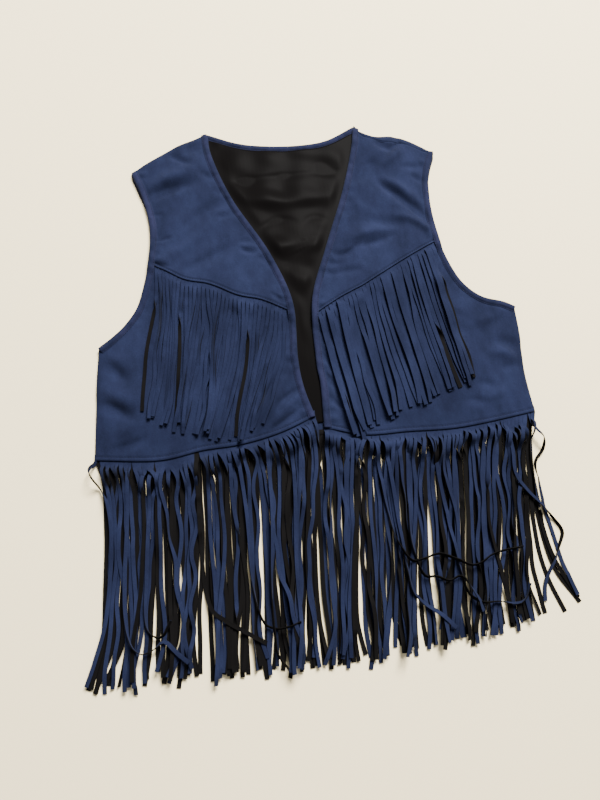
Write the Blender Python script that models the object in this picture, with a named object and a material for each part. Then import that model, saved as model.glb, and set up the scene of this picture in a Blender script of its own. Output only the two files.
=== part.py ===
"""A western vest of navy microsuede with chest and hem fringe, laid flat and face up.

The vest lies on the plane Z = 0. +Y runs from the hem to the neck along the centre back, +X to the
right as seen from above, and the origin is on the back panel's underside, level with the armpits.
Lengths are in millimetres until a mesh is made. Left and right are as seen from above.
"""

import bmesh
import bpy
import numpy as np

MM = 0.001

# Driving sizes
GAP = 0.3                # between pieces that touch
SUEDE = 1.2              # thickness of the microsuede
LINING = 1.0
BINDING = 0.9
BINDING_WIDTH = 8.0      # how far a binding reaches in over a panel
FRINGE = 0.8             # thickness of a fringe strip
FRONT_LIFT = 3.8         # underside of the fronts over the table
YOKE_LAP = 8.0           # how far the lower front runs up under the yoke
LAP_TRIM = 0.6           # cut off the lap's two ends
LAP_SETTLES = (10, 55)   # heights above the yoke line where the yoke comes down again
HEADER_TUCK = 7.0        # the part of a fringe header that a panel covers
HEADER_SHOWN = 8.0       # the part that shows before the slits start
LINING_INSET = 13.0      # from the armholes and side seams to the lining's edge
LINING_NECK_INSET = 9.4  # from the neck's edge, where the lining meets the binding
LINING_HEM_INSET = 15.0
CHEST_STRANDS = 32       # a side
HEM_STRANDS = 46         # a side
BACK_STRANDS = 92
SLIT = 0.45              # gap between two strands at their roots
HEADER_GAP = 0.45        # between a lower front and the chest fringe's header
CHEST_CLEAR = 0.75       # how far the lower strands lie over the header's level
LEAF_GAP = 0.5           # under the far side of a binding's leaf
HEM_LENGTH = 218.0       # strand length in plan, below the header

BACK_TOP = SUEDE
LAP_LIFT = SUEDE + FRINGE + 3 * GAP
EDGE_INSET = BINDING + GAP
SIDES = {"left": -1.0, "right": 1.0}
FINE = 60                # points on a curve before it is divided


def table(columns, *rows):
    """Return the rows as named columns."""
    return dict(zip(columns.split(), np.array(rows, dtype=float).T))


# Points that the outline passes through on each side: reach from the centre line, and height.
OUTLINE_COLUMNS = "left_x left_y right_x right_y"

SIDE_SEAM = table(OUTLINE_COLUMNS,
                  (247.0, -129.0, 244.0, -127.5),
                  (243.7, -75.0, 242.2, -80.0),
                  (241.7, -38.0, 246.5, -35.0),
                  (238.5, -3.0, 248.0, 2.0))

ARMHOLE = table(OUTLINE_COLUMNS,
                (238.5, -3.0, 248.0, 2.0),
                (222.0, 9.0, 234.0, 9.8),
                (207.6, 22.0, 210.0, 18.5),
                (193.8, 41.0, 192.0, 36.0),
                (185.5, 64.0, 181.5, 58.0),
                (178.0, 94.0, 173.0, 90.0),
                (173.5, 126.0, 169.8, 125.0),
                (174.5, 157.0, 171.4, 160.0),
                (180.5, 186.0, 176.0, 190.0),
                (191.3, 218.4, 188.7, 220.4))

FRONT_EDGE = table(OUTLINE_COLUMNS,
                   (7.0, -106.0, 0.8, -120.0),
                   (15.2, -72.0, 3.2, -72.0),
                   (17.8, -38.0, 2.1, -40.0),
                   (15.8, 32.0, 6.9, 32.0),
                   (35.4, 98.5, 32.0, 98.5),
                   (71.8, 171.6, 62.5, 171.6),
                   (91.5, 232.0, 82.5, 232.0),
                   (94.5, 267.8, 89.7, 266.5))

HEM = table(OUTLINE_COLUMNS,
            (247.0, -129.0, 244.0, -127.5),
            (180.0, -136.4, 180.0, -134.5),
            (132.0, -130.5, 140.0, -136.7),
            (90.0, -128.4, 92.0, -134.5),
            (48.0, -120.5, 45.0, -133.0),
            (7.0, -106.0, 0.8, -120.0))

YOKE_LINE = table(OUTLINE_COLUMNS,
                  (177.5, 96.5, 172.5, 96.5),
                  (140.0, 71.5, 140.0, 81.0),
                  (110.0, 62.0, 112.0, 66.5),
                  (79.0, 45.0, 74.0, 46.0),
                  (50.0, 35.5, 38.0, 29.5),
                  (16.5, 18.0, 3.9, 11.5))

SHOULDER = table(OUTLINE_COLUMNS,
                 (191.3, 218.4, 188.7, 218.4),
                 (170.1, 230.8, 166.0, 228.5),
                 (147.7, 243.2, 140.0, 238.5),
                 (121.7, 255.5, 116.0, 244.5),
                 (94.5, 267.8, 89.7, 264.5))

# The back's own shoulder, which shows past the right front's
BACK_SHOULDER = table(OUTLINE_COLUMNS,
                      (191.3, 218.4, 188.7, 220.4),
                      (170.1, 231.1, 167.0, 235.3),
                      (147.7, 243.7, 142.0, 247.6),
                      (121.7, 255.8, 115.2, 250.9),
                      (94.5, 267.8, 89.7, 266.5))

BACK_NECK = table("x y",
                  (-94.5, 267.8),
                  (-57.8, 252.6),
                  (-20.0, 246.0),
                  (20.0, 244.6),
                  (54.0, 249.4),
                  (89.7, 266.5))

# Soft rises of the fronts: centre, half length and half width, turn in degrees, and height
FOLDS = table("x y length width turn rise",
              (-128.0, 214.0, 34.0, 11.0, 24.0, 2.6),
              (-118.0, 160.0, 40.0, 13.0, 58.0, 2.2),
              (-205.0, -62.0, 30.0, 13.0, -18.0, 2.2),
              (-120.0, -70.0, 50.0, 26.0, 8.0, 1.8),
              (116.0, 158.0, 40.0, 13.0, -30.0, 2.6),
              (128.0, 216.0, 30.0, 11.0, -42.0, 2.4),
              (84.0, 112.0, 30.0, 11.0, 22.0, 2.0),
              (212.0, -52.0, 26.0, 13.0, 42.0, 2.2),
              (110.0, -66.0, 46.0, 26.0, 6.0, 1.8))

# How far the strands' ends lie to the side of their roots, and the height where they end,
# across a fringe from its outer end (0) to its inner end (1)
CHEST_DRIFT = table("across left_x left_y right_x right_y",
                    (0.00, -17.0, -80.0, 20.0, -73.0),
                    (0.20, -24.0, -101.0, 20.0, -90.0),
                    (0.50, -33.0, -113.0, 17.0, -108.0),
                    (0.80, -42.0, -124.0, 14.0, -128.0),
                    (1.00, -41.0, -112.0, 12.0, -118.0))

# How far hem strands lie to the side of their roots, at shares of their length, across a fringe
# from its outer end (0) to its inner end (1)
SWAY_AT = np.array([0.0, 0.15, 0.5, 0.8, 1.0])
SWAY_COLUMNS = ("near", "middle", "far", "end")
HEM_SWAY = {
    "left": table("across near middle far end",
                  (0.0, 5.0, 4.0, -1.0, -19.0),
                  (0.3, 2.0, 2.0, 0.0, -8.0),
                  (0.6, 3.0, 2.0, 0.0, -4.0),
                  (1.0, 5.0, 4.0, 0.0, -2.0)),
    "right": table("across near middle far end",
                   (0.0, -8.0, -19.0, -18.0, 5.0),
                   (0.3, -3.0, -9.0, -12.0, -8.0),
                   (0.6, -2.0, -5.0, -7.0, -4.0),
                   (1.0, 0.0, -3.0, -5.0, -5.0)),
}

# The back's hem fringe, across from left (0) to right (1)
BACK_SWAY = table("across near middle far end length",
                  (0.0, 5.0, 4.0, -1.0, -19.0, 217.0),
                  (0.15, 2.0, 2.0, 0.0, -8.0, 222.0),
                  (0.3, 3.0, 2.0, 0.0, -4.0, 226.0),
                  (0.5, 2.0, 0.0, -2.0, -3.0, 228.0),
                  (0.7, -2.0, -5.0, -7.0, -4.0, 228.0),
                  (0.85, -3.0, -9.0, -12.0, -8.0, 222.0),
                  (1.0, -8.0, -19.0, -18.0, 5.0, 211.0))

# Unevenness of a fringe: size in millimetres (a share for arch), number of waves, and start
RIPPLES = {
    "chest drift": (0.8, 5, 0.1),
    "chest end": (4.0, 6, 0.3),
    "hem drift": (1.6, 7, 0.2),
    "hem end": (5.0, 9, 0.4),
    "hem arch": (0.25, 8, 0.0),
    "back drift": (1.6, 12, 0.6),
    "back end": (4.0, 15, 0.2),
}

# Strand sections of the hem fringe: distance below the header, and rise over where it lies
ARCH = table("distance rise",
             (0.0, 0.0),
             (9.0, 6.6),
             (23.0, 6.0),
             (44.0, 0.0),
             (130.0, 0.0))

# Strand sections on the chest, as shares of the length
CHEST_SECTIONS = (0.1, 0.38, 0.7, 1.0)
BACK_DROP = 14.0         # where the back fringe reaches the table
BEND = 1.5               # a strand's drift grows as this power of the way along it
BACK_MIDDLE = 0.45       # where the back strands' middle section lies, as a share of the length
FAR_SECTION = 0.8        # where a hem strand's last bend lies
SWELL = 0.37             # waves of the slower ripple to one of the faster

# Grid lines of the panels, as shares of their edges
PIT_AT = 0.45            # where the armpit lies on a front's outer edge
FRONT_ACROSS = np.array([0, 0.03, 0.15, 0.3, 0.45, 0.6, 0.75, 0.9, 1])
FRONT_UP = np.array([0, 0.045, 0.12, 0.24, 0.36, 0.42, PIT_AT, 0.49, 0.53, 0.58, 0.64, 0.72, 0.81, 0.9, 1])
YOKE_ACROSS = np.array([0, 0.1, 0.25, 0.4, 0.55, 0.7, 0.9, 1])
YOKE_UP = np.array([0, 0.07, 0.18, 0.32, 0.46, 0.6, 0.74, 0.87, 0.96, 1])
BACK_PIT_AT = 0.34
NECK_LEFT_AT = 0.25
NECK_RIGHT_AT = 0.74
BACK_ACROSS = np.array([0, 0.03, 0.14, NECK_LEFT_AT, 0.31, 0.37, 0.43, 0.5, 0.56, 0.62, 0.68, NECK_RIGHT_AT,
                        0.86, 0.97, 1])
BACK_UP = np.array([0, 0.11, 0.22, BACK_PIT_AT, 0.38, 0.42, 0.46, 0.51, 0.57, 0.64, 0.72, 0.8, 0.88,
                    0.95, 1])
SEAM_END = 12.0          # where a seam's turned edge stops short of the bindings
HEM_SEAM_END = 20.0
CLIMB_START = 22.0       # below the yoke line, where a binding starts to climb over the lap
CLIMB_END = 11.0
SECTION_CLEAR = 3.0      # the least run between two sections of a binding

COLOURS = {
    "navy microsuede": ((0.035, 0.052, 0.135, 1), 0.92),
    "navy binding": ((0.028, 0.042, 0.115, 1), 0.9),
    "black satin lining": ((0.012, 0.011, 0.010, 1), 0.45),
    "navy fringe": ((0.032, 0.048, 0.130, 1), 0.92),
}


def smooth_curve(points, steps=16):
    """Return a dense Catmull-Rom curve through the points."""
    points = np.asarray(points, dtype=float)
    before = np.vstack((2 * points[0] - points[1], points[:-1]))[:, None]
    after = np.vstack((points[1:], 2 * points[-1] - points[-2]))[:, None]
    start, end = points[:-1, None], points[1:, None]
    leave, arrive = (after[:-1] - before[:-1]) / 2, (after[1:] - before[1:]) / 2
    t = np.linspace(0, 1, steps, endpoint=False)[None, :, None]
    body = ((2 * t**3 - 3 * t**2 + 1) * start + (t**3 - 2 * t**2 + t) * leave
            + (3 * t**2 - 2 * t**3) * end + (t**3 - t**2) * arrive)
    return np.vstack((body.reshape(-1, points.shape[1]), points[-1:]))


def lengths(curve):
    """Return the length travelled at each point of a curve."""
    return np.concatenate(([0.0], np.cumsum(np.linalg.norm(np.diff(curve, axis=0), axis=1))))


def along(curve, shares):
    """Return the points at these shares of the curve's length."""
    travelled = lengths(curve)
    wanted = np.asarray(shares) * travelled[-1]
    return np.column_stack([np.interp(wanted, travelled, axis) for axis in curve.T])


def share_at(curve, point):
    """Return the share of the curve's length at its point nearest to this one."""
    travelled = lengths(curve)
    return travelled[np.argmin(np.linalg.norm(curve - point, axis=1))] / travelled[-1]


def stretch(curve, first, last):
    """Return the part of a curve between two shares of its length."""
    return along(curve, np.linspace(first, last, FINE))


def normals(curve, inward):
    """Return unit normals of a plan curve that point to the inward side of travel, 1 or -1."""
    run = np.gradient(curve, axis=0)
    run /= np.linalg.norm(run, axis=1)[:, None]
    return inward * np.column_stack((-run[:, 1], run[:, 0]))


def inset(curve, distance, inward):
    """Move a plan curve inward by a distance."""
    return curve + distance * normals(curve, inward)


def between(curve, start, end):
    """Ease a curve so that its ends meet two points."""
    share = (lengths(curve) / lengths(curve)[-1])[:, None]
    return curve + (1 - share) * (start - curve[0]) + share * (end - curve[-1])


def chain(curves, breaks, shares):
    """Return points at shares of an edge made of several curves that join at the breaks."""
    points = np.zeros((len(shares), 2))
    for curve, first, last in zip(curves, breaks[:-1], breaks[1:]):
        here = (shares >= first) & (shares <= last)
        points[here] = along(curve, (shares[here] - first) / (last - first))
    return points


def patch(bottom, outer, top, inner, across, up):
    """Fill four edges with a Coons patch and return its grid of plan points."""
    u, v = across[:, None, None], up[None, :, None]
    corners = ((1 - u) * (1 - v) * bottom[0] + u * (1 - v) * bottom[-1]
               + (1 - u) * v * top[0] + u * v * top[-1])
    return (1 - v) * bottom[:, None] + v * top[:, None] + (1 - u) * outer[None] + u * inner[None] - corners


def ramp(value, low, high):
    """Rise smoothly from 0 at low to 1 at high."""
    t = np.clip((value - low) / (high - low), 0, 1)
    return t * t * (3 - 2 * t)


def edge(rows, side):
    """Return one side's smooth outline curve from a table of its points."""
    x = SIDES[side] * rows[side + "_x"]
    return smooth_curve(np.column_stack((x, rows[side + "_y"])))


def fold_rise(x, y):
    """Return how far the folds lift the fronts at these plan points."""
    total = np.zeros_like(x)
    for centre_x, centre_y, length, width, degrees, rise in zip(*FOLDS.values()):
        turn = np.radians(degrees)
        run = (x - centre_x) * np.cos(turn) + (y - centre_y) * np.sin(turn)
        aside = (y - centre_y) * np.cos(turn) - (x - centre_x) * np.sin(turn)
        total += rise * np.exp(-0.5 * ((run / length) ** 2 + (aside / width) ** 2))
    return total


def front_under(x, y):
    """Return the height of the fronts' underside."""
    return FRONT_LIFT + fold_rise(x, y)


def yoke_height(side, x):
    """Return the yoke line's height at each reach from the centre line."""
    line = edge(YOKE_LINE, side)
    order = np.argsort(np.abs(line[:, 0]))
    return np.interp(np.abs(x), np.abs(line[order, 0]), line[order, 1])


def material(name):
    """Return a Principled material of the named colour."""
    made = bpy.data.materials.get(name)
    if made is None:
        made = bpy.data.materials.new(name)
        made.use_nodes = True
        colour, roughness = COLOURS[name]
        shader = made.node_tree.nodes["Principled BSDF"]
        shader.inputs["Base Color"].default_value = colour
        shader.inputs["Roughness"].default_value = roughness
        shader.inputs["Metallic"].default_value = 0.0
        made.diffuse_color = colour
    return made


def solid(name, points, faces, finish):
    """Make one closed object from points in millimetres, with its faces turned out."""
    mesh = bpy.data.meshes.new(name)
    mesh.from_pydata((np.asarray(points) * MM).tolist(), [], faces)
    work = bmesh.new()
    work.from_mesh(mesh)
    bmesh.ops.triangulate(work, faces=work.faces[:])
    bmesh.ops.recalc_face_normals(work, faces=work.faces[:])
    work.to_mesh(mesh)
    work.free()
    mesh.materials.append(material(finish))
    made = bpy.data.objects.new(name, mesh)
    bpy.context.scene.collection.objects.link(made)
    return made


def wall(name, plan, under, over, finish):
    """Make a closed wall over a grid of plan points, between two heights at each of them."""
    columns, rows = plan.shape[:2]
    low = np.dstack((plan, under)).reshape(-1, 3)
    high = np.dstack((plan, over)).reshape(-1, 3)
    index = np.arange(columns * rows).reshape(columns, rows)
    lift = columns * rows
    quads = np.stack((index[:-1, :-1], index[1:, :-1], index[1:, 1:], index[:-1, 1:]), axis=-1)
    faces = (quads.reshape(-1, 4) + lift).tolist() + quads.reshape(-1, 4)[:, ::-1].tolist()
    rim = np.concatenate((index[:, 0], index[-1, 1:], index[-2::-1, -1], index[0, -2:0:-1]))
    ahead = np.roll(rim, -1)
    faces += np.stack((rim, ahead, ahead + lift, rim + lift), axis=-1).tolist()
    return solid(name, np.vstack((low, high)), faces, finish)


def back_side(side, shoulder_rows, bound, seam_inset, hem_inset):
    """Return one side of the back: its seam, armhole and shoulder, with bound edges moved in."""
    seam = edge(SIDE_SEAM, side) - [SIDES[side] * seam_inset, 0]
    armhole = inset(edge(ARMHOLE, side), bound, SIDES[side])
    shoulder = edge(shoulder_rows, side) - [0, seam_inset]
    tip = along(shoulder, [bound / lengths(shoulder)[-1]])[0]
    armhole = stretch(armhole, 0, share_at(armhole, tip))
    pit = np.array([seam[-1, 0], armhole[0, 1]])
    seam = between(seam, seam[0] + [0, hem_inset], pit)
    return seam, between(armhole, pit, armhole[-1]), shoulder


def back_plan(shoulder_rows, bound, neck_inset, seam_inset=0.0, hem_inset=0.0):
    """Return the grid of plan points of the back panel or of its lining."""
    neck = smooth_curve(np.column_stack((BACK_NECK["x"], BACK_NECK["y"]))) - [0, neck_inset]
    seams, armholes, shoulders = {}, {}, {}
    for side, corner in (("left", neck[0]), ("right", neck[-1])):
        seam, armhole, shoulder = back_side(side, shoulder_rows, bound, seam_inset, hem_inset)
        seams[side], armholes[side] = seam, armhole
        shoulders[side] = between(shoulder, armhole[-1], corner)
    hem = np.linspace(seams["left"][0], seams["right"][0], FINE)
    left, right = (chain((seams[side], armholes[side]), (0, BACK_PIT_AT, 1), BACK_UP) for side in SIDES)
    top = chain((shoulders["left"], neck, shoulders["right"][::-1]),
                (0, NECK_LEFT_AT, NECK_RIGHT_AT, 1), BACK_ACROSS)
    return patch(along(hem, BACK_ACROSS), left, top, right, BACK_ACROSS, BACK_UP)


def back_panel():
    """The back: one piece of suede, flat on the table."""
    plan = back_plan(BACK_SHOULDER, EDGE_INSET, EDGE_INSET)
    flat = np.zeros(plan.shape[:2])
    wall("back_panel", plan, flat, flat + SUEDE, "navy microsuede")
    return plan


def back_lining():
    """The satin lining on the back, inside the bindings and above the hem fringe's header."""
    plan = back_plan(SHOULDER, LINING_INSET, LINING_NECK_INSET, LINING_INSET, LINING_HEM_INSET)
    under = np.full(plan.shape[:2], BACK_TOP + GAP)
    wall("back_lining", plan, under, under + LINING, "black satin lining")


def front_curves(side):
    """Return the curves that a front is cut by, with its bound edges moved in."""
    inward = SIDES[side]
    return {
        "seam": edge(SIDE_SEAM, side),
        "armhole": inset(edge(ARMHOLE, side), EDGE_INSET, inward),
        "front": inset(edge(FRONT_EDGE, side), EDGE_INSET, -inward),
        "hem": edge(HEM, side),
        "yoke": edge(YOKE_LINE, side),
        "shoulder": edge(SHOULDER, side),
    }


def lower_front(side):
    """A lower front, from the hem to a lap's height above the yoke line."""
    curves = front_curves(side)
    lap = np.array([0, YOKE_LAP])
    lap_line = curves["yoke"] + lap
    seam = between(curves["seam"], curves["seam"][0], curves["armhole"][0])
    armhole = stretch(curves["armhole"], 0, share_at(curves["armhole"], lap_line[0]))
    front = stretch(curves["front"], 0, share_at(curves["front"], lap_line[-1]))
    trim = np.array([SIDES[side] * LAP_TRIM, 0])
    top = along(between(lap_line, armhole[-1] - trim, front[-1] + trim), FRONT_ACROSS)
    bottom = along(between(curves["hem"], seam[0], front[0]), FRONT_ACROSS)
    outer = chain((seam, armhole), (0, PIT_AT, 1), FRONT_UP)
    inner = along(front, FRONT_UP)
    outer[-1], inner[-1] = top[0], top[-1]
    plan = patch(bottom, outer, top, inner, FRONT_ACROSS, FRONT_UP)
    under = front_under(plan[..., 0], plan[..., 1])
    over = under + SUEDE
    seam_height = plan[0, :, 1]
    turned = (seam_height > seam[0, 1] + HEM_SEAM_END) & (seam_height < seam[-1, 1] - SEAM_END)
    under[0, turned] = BACK_TOP + GAP
    wall("front_" + side, plan, under, over, "navy microsuede")
    return plan, over


def yoke(side):
    """A front yoke, from the yoke line, where it laps over the chest fringe, to the shoulder."""
    curves = front_curves(side)
    line = curves["yoke"]
    armhole = stretch(curves["armhole"], share_at(curves["armhole"], line[0]), 1)
    front = stretch(curves["front"], share_at(curves["front"], line[-1]), 1)
    bottom = along(between(line, armhole[0], front[0]), YOKE_ACROSS)
    top = along(between(curves["shoulder"], armhole[-1], front[-1]), YOKE_ACROSS)
    plan = patch(bottom, along(armhole, YOKE_UP), top, along(front, YOKE_UP), YOKE_ACROSS, YOKE_UP)
    x, y = plan[..., 0], plan[..., 1]
    above = y - yoke_height(side, x)
    under = front_under(x, y) + LAP_LIFT * (1 - ramp(above, *LAP_SETTLES))
    over = under + SUEDE
    from_ends = np.minimum(lengths(top), lengths(top)[-1] - lengths(top))
    under[from_ends > SEAM_END, -1] = BACK_TOP + GAP
    wall("yoke_" + side, plan, under, over, "navy microsuede")
    return plan, over


def mitres(line, inward):
    """Return the offsets that move a plan polyline inward by one millimetre, square to each run."""
    run = np.diff(line, axis=0)
    run /= np.linalg.norm(run, axis=1)[:, None]
    square = inward * np.column_stack((-run[:, 1], run[:, 0]))
    before, after = np.vstack((square[:1], square)), np.vstack((square, square[-1:]))
    total = before + after
    return 2 * total / np.sum(total * total, axis=1)[:, None]


def bound_rows(plan, over, column, step):
    """Return the sections that a binding needs along one edge column of a panel.

    Each has the edge's x and y, the panel's height there, and its height below the leaf's far side.
    """
    rim, within = plan[column], plan[column + step]
    share = (BINDING_WIDTH - EDGE_INSET) / np.linalg.norm(within - rim, axis=1)
    far = over[column] + share * (over[column + step] - over[column])
    return np.column_stack((rim, over[column], far))


def binding(name, rows, inward, leg_foot):
    """A binding along a panel's edge: a leg down the edge and a leaf in over the panel."""
    aim = mitres(rows[:, :2], inward)
    near, far = rows[:, 2] + GAP, rows[:, 3] + LEAF_GAP
    foot = np.broadcast_to(leg_foot, near.shape)
    sections = (
        (-EDGE_INSET, foot),
        (-EDGE_INSET, near + BINDING),
        (BINDING_WIDTH - EDGE_INSET, far + BINDING),
        (BINDING_WIDTH - EDGE_INSET, far),
        (-GAP, near),
        (-GAP, foot),
    )
    rings = np.stack([np.column_stack((rows[:, :2] + reach * aim, height)) for reach, height in sections],
                     axis=1)
    count, around = rings.shape[:2]
    index = np.arange(count * around).reshape(count, around)
    ahead = np.roll(index, -1, axis=1)
    faces = np.stack((index[:-1], ahead[:-1], ahead[1:], index[1:]), axis=-1).reshape(-1, 4).tolist()
    for ring in (index[0], index[-1]):
        faces += [ring[[0, 1, 4, 5]].tolist(), ring[[1, 2, 3, 4]].tolist()]
    solid(name, rings.reshape(-1, 3), faces, "navy binding")


def lapped_rows(lower, upper):
    """Join the sections of a lower front and a yoke: the binding climbs just below the yoke line."""
    travelled = lengths(lower[:, :2])
    crossing = travelled[np.argmin(np.linalg.norm(lower[:, :2] - upper[0, :2], axis=1))]
    foot, top = crossing - CLIMB_START, crossing - CLIMB_END
    below = lower[travelled < foot - SECTION_CLEAR]
    lapped = lower[(travelled > top + SECTION_CLEAR) & (travelled < crossing - SECTION_CLEAR)]
    at_foot, at_top = ([np.interp(arc, travelled, axis) for axis in lower.T] for arc in (foot, top))
    lapped = np.vstack((at_top, lapped))
    lapped[:, 2:] = upper[0, 2:]
    return np.vstack((below, at_foot, lapped, upper))


def front_bindings(side, lower, upper):
    """The bindings of one front: its front edge and the front half of its armhole."""
    lower_plan, lower_over = lower
    pit = np.searchsorted(FRONT_UP, PIT_AT)
    inward = SIDES[side]
    for name, column, step, first, turn in (("binding_armhole_front_", 0, 1, pit, inward),
                                            ("binding_front_", -1, -1, 0, -inward)):
        rows = lapped_rows(bound_rows(lower_plan, lower_over, column, step)[first:],
                           bound_rows(*upper, column, step))
        foot = front_under(rows[:, 0], rows[:, 1]) - GAP
        binding(name + side, rows, turn, foot)


def back_bindings(plan):
    """The bindings of the back: its neck and the back halves of both armholes."""
    over = np.full(plan.shape[:2], BACK_TOP)
    pit = np.searchsorted(BACK_UP, BACK_PIT_AT)
    neck = slice(np.searchsorted(BACK_ACROSS, NECK_LEFT_AT), np.searchsorted(BACK_ACROSS, NECK_RIGHT_AT) + 1)
    binding("binding_armhole_back_left", bound_rows(plan, over, 0, 1)[pit:], -1, GAP)
    binding("binding_armhole_back_right", bound_rows(plan, over, -1, -1)[pit:], 1, GAP)
    turned = plan.transpose(1, 0, 2)
    binding("binding_neck", bound_rows(turned, over.T, -1, -1)[neck], -1, GAP)


def fringe(name, header, strands):
    """A header strip slit into strands, as one closed body.

    header has a point for each strand's two sides, at the strip's upper and lower edges.
    strands has, for each strand, its sections' points on the two sides. All are on the underside.
    """
    columns = header.shape[0]
    count, sections = strands.shape[:2]
    rise = np.array([0, 0, FRINGE])
    low = np.vstack((header.reshape(-1, 3), strands.reshape(-1, 3)))
    lift = len(low)
    top = np.arange(columns * 2).reshape(columns, 2)
    strand = columns * 2 + np.arange(count * sections * 2).reshape(count, sections, 2)
    roots = top[:, 1].reshape(count, 1, 2)
    strand = np.concatenate((roots, strand), axis=1)
    faces = []
    sheets = [np.stack((top[:-1, 0], top[1:, 0], top[1:, 1], top[:-1, 1]), axis=-1)]
    sheets.append(np.stack((strand[:, :-1, 0], strand[:, :-1, 1], strand[:, 1:, 1], strand[:, 1:, 0]),
                           axis=-1).reshape(-1, 4))
    for sheet in sheets:
        faces += (sheet + lift).tolist() + sheet[:, ::-1].tolist()
    runs = [top[:, 0], top[0], top[-1]]
    runs += [top[i:i + 2, 1] for i in range(1, columns - 1, 2)]
    for i in range(count):
        runs += [strand[i, :, 0], strand[i, :, 1], strand[i, -1]]
    for run in runs:
        faces += [[int(a), int(b), int(b) + lift, int(a) + lift] for a, b in zip(run[:-1], run[1:])]
    solid(name, np.vstack((low, low + rise)), faces, "navy fringe")


def strand_sides(paths, half_width):
    """Spread each strand's centre line to its two sides, level and square to its run in plan."""
    run = np.gradient(paths[..., :2], axis=1)
    run /= np.linalg.norm(run, axis=-1)[..., None]
    aside = np.stack((-run[..., 1], run[..., 0], np.zeros(run.shape[:2])), axis=-1)
    spread = half_width[:, None, None] * aside
    return np.stack((paths - spread, paths + spread), axis=2)


def ripple(name, share):
    """Return the named unevenness at these shares across a fringe: a wave that a slower one swells."""
    size, waves, start = RIPPLES[name]
    swell = np.cos(2 * np.pi * SWELL * waves * share)
    return size * np.sin(2 * np.pi * (waves * share + start)) * swell


def sway(rows, across, share):
    """Return how far strands lie to the side of their roots, at shares of their length."""
    stops = np.column_stack([np.zeros(len(across))]
                            + [np.interp(across, rows["across"], rows[name]) for name in SWAY_COLUMNS])
    return np.array([np.interp(at, SWAY_AT, stop) for at, stop in zip(share, stops)])


def fringe_frame(line, count, first=0.0, last=1.0):
    """Return the header's columns, the strands' half width and their shares across."""
    length = lengths(line)[-1] * (last - first)
    half = 0.5 * (length / count - SLIT)
    middle = (np.arange(count) + 0.5) / count
    sides = np.sort(np.concatenate((middle - half / length, middle + half / length)))
    return along(line, first + sides * (last - first)), np.full(count, half), middle


def level_of(count, low, step):
    """Return the heights of strands that lie by turns on two levels."""
    return low + step * (np.arange(count) % 2)


def header_points(columns, tuck, shown, height):
    """Return a header's points at its upper and lower edges."""
    upper = np.column_stack((columns + [0, tuck], height(columns[:, 0], columns[:, 1] + tuck)))
    lower = np.column_stack((columns - [0, shown], height(columns[:, 0], columns[:, 1] - shown)))
    return np.stack((upper, lower), axis=1)


def ordered_sides(strands, columns):
    """Give the two sides of each strand in the order of the header's columns."""
    forward = columns[1, 0] > columns[0, 0]
    first = strands[:, 0, 0, 0] < strands[:, 0, 1, 0]
    flip = first != forward
    strands[flip] = strands[flip][:, :, ::-1]
    return strands


def chest_fringe(side):
    """The fringe under a yoke, lying on the lower front."""
    line = edge(YOKE_LINE, side)
    margin = (BINDING_WIDTH + 3 * GAP) / lengths(line)[-1]
    columns, half, middle = fringe_frame(line, CHEST_STRANDS, margin, 1 - margin)

    def on_front(x, y):
        return front_under(x, y) + SUEDE + HEADER_GAP

    header = header_points(columns, HEADER_TUCK, HEADER_SHOWN, on_front)
    root = (columns[0::2] + columns[1::2]) / 2 - [0, HEADER_SHOWN]
    drift = np.interp(middle, CHEST_DRIFT["across"], CHEST_DRIFT[side + "_x"])
    end = np.interp(middle, CHEST_DRIFT["across"], CHEST_DRIFT[side + "_y"])
    drift = drift + ripple("chest drift", middle)
    end = end + ripple("chest end", middle)
    share = np.array(CHEST_SECTIONS)[None]
    x = root[:, :1] + drift[:, None] * share**BEND
    y = root[:, 1:] + (end - root[:, 1])[:, None] * share
    z = on_front(x, y) + level_of(CHEST_STRANDS, CHEST_CLEAR, FRINGE + 2 * GAP)[:, None]
    strands = strand_sides(np.stack((x, y, z), axis=-1), half)
    fringe("chest_fringe_" + side, header, ordered_sides(strands, columns))


def hem_fringe(side):
    """The fringe of one front's hem: it arches up from the header and lies on the back's fringe."""
    columns, half, middle = fringe_frame(edge(HEM, side), HEM_STRANDS)
    floor = BACK_TOP + FRINGE + 2 * GAP

    def header_height(x, y):
        return np.full_like(x, floor)

    header = header_points(columns, HEADER_TUCK, HEADER_SHOWN, header_height)
    root = (columns[0::2] + columns[1::2]) / 2 - [0, HEADER_SHOWN]
    length = HEM_LENGTH + ripple("hem end", middle)
    near = np.tile(ARCH["distance"][1:], (HEM_STRANDS, 1))
    distance = np.column_stack((near, FAR_SECTION * length, length))
    share = distance / length[:, None]
    rise = np.append(ARCH["rise"][1:], (0.0, 0.0))[None] * (1 + ripple("hem arch", middle))[:, None]
    x = root[:, :1] + sway(HEM_SWAY[side], middle, share) + ripple("hem drift", middle)[:, None] * share**BEND
    y = root[:, 1:] - distance
    z = level_of(HEM_STRANDS, floor, FRINGE + GAP)[:, None] + rise
    strands = strand_sides(np.stack((x, y, z), axis=-1), half)
    fringe("hem_fringe_front_" + side, header, ordered_sides(strands, columns))


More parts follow.
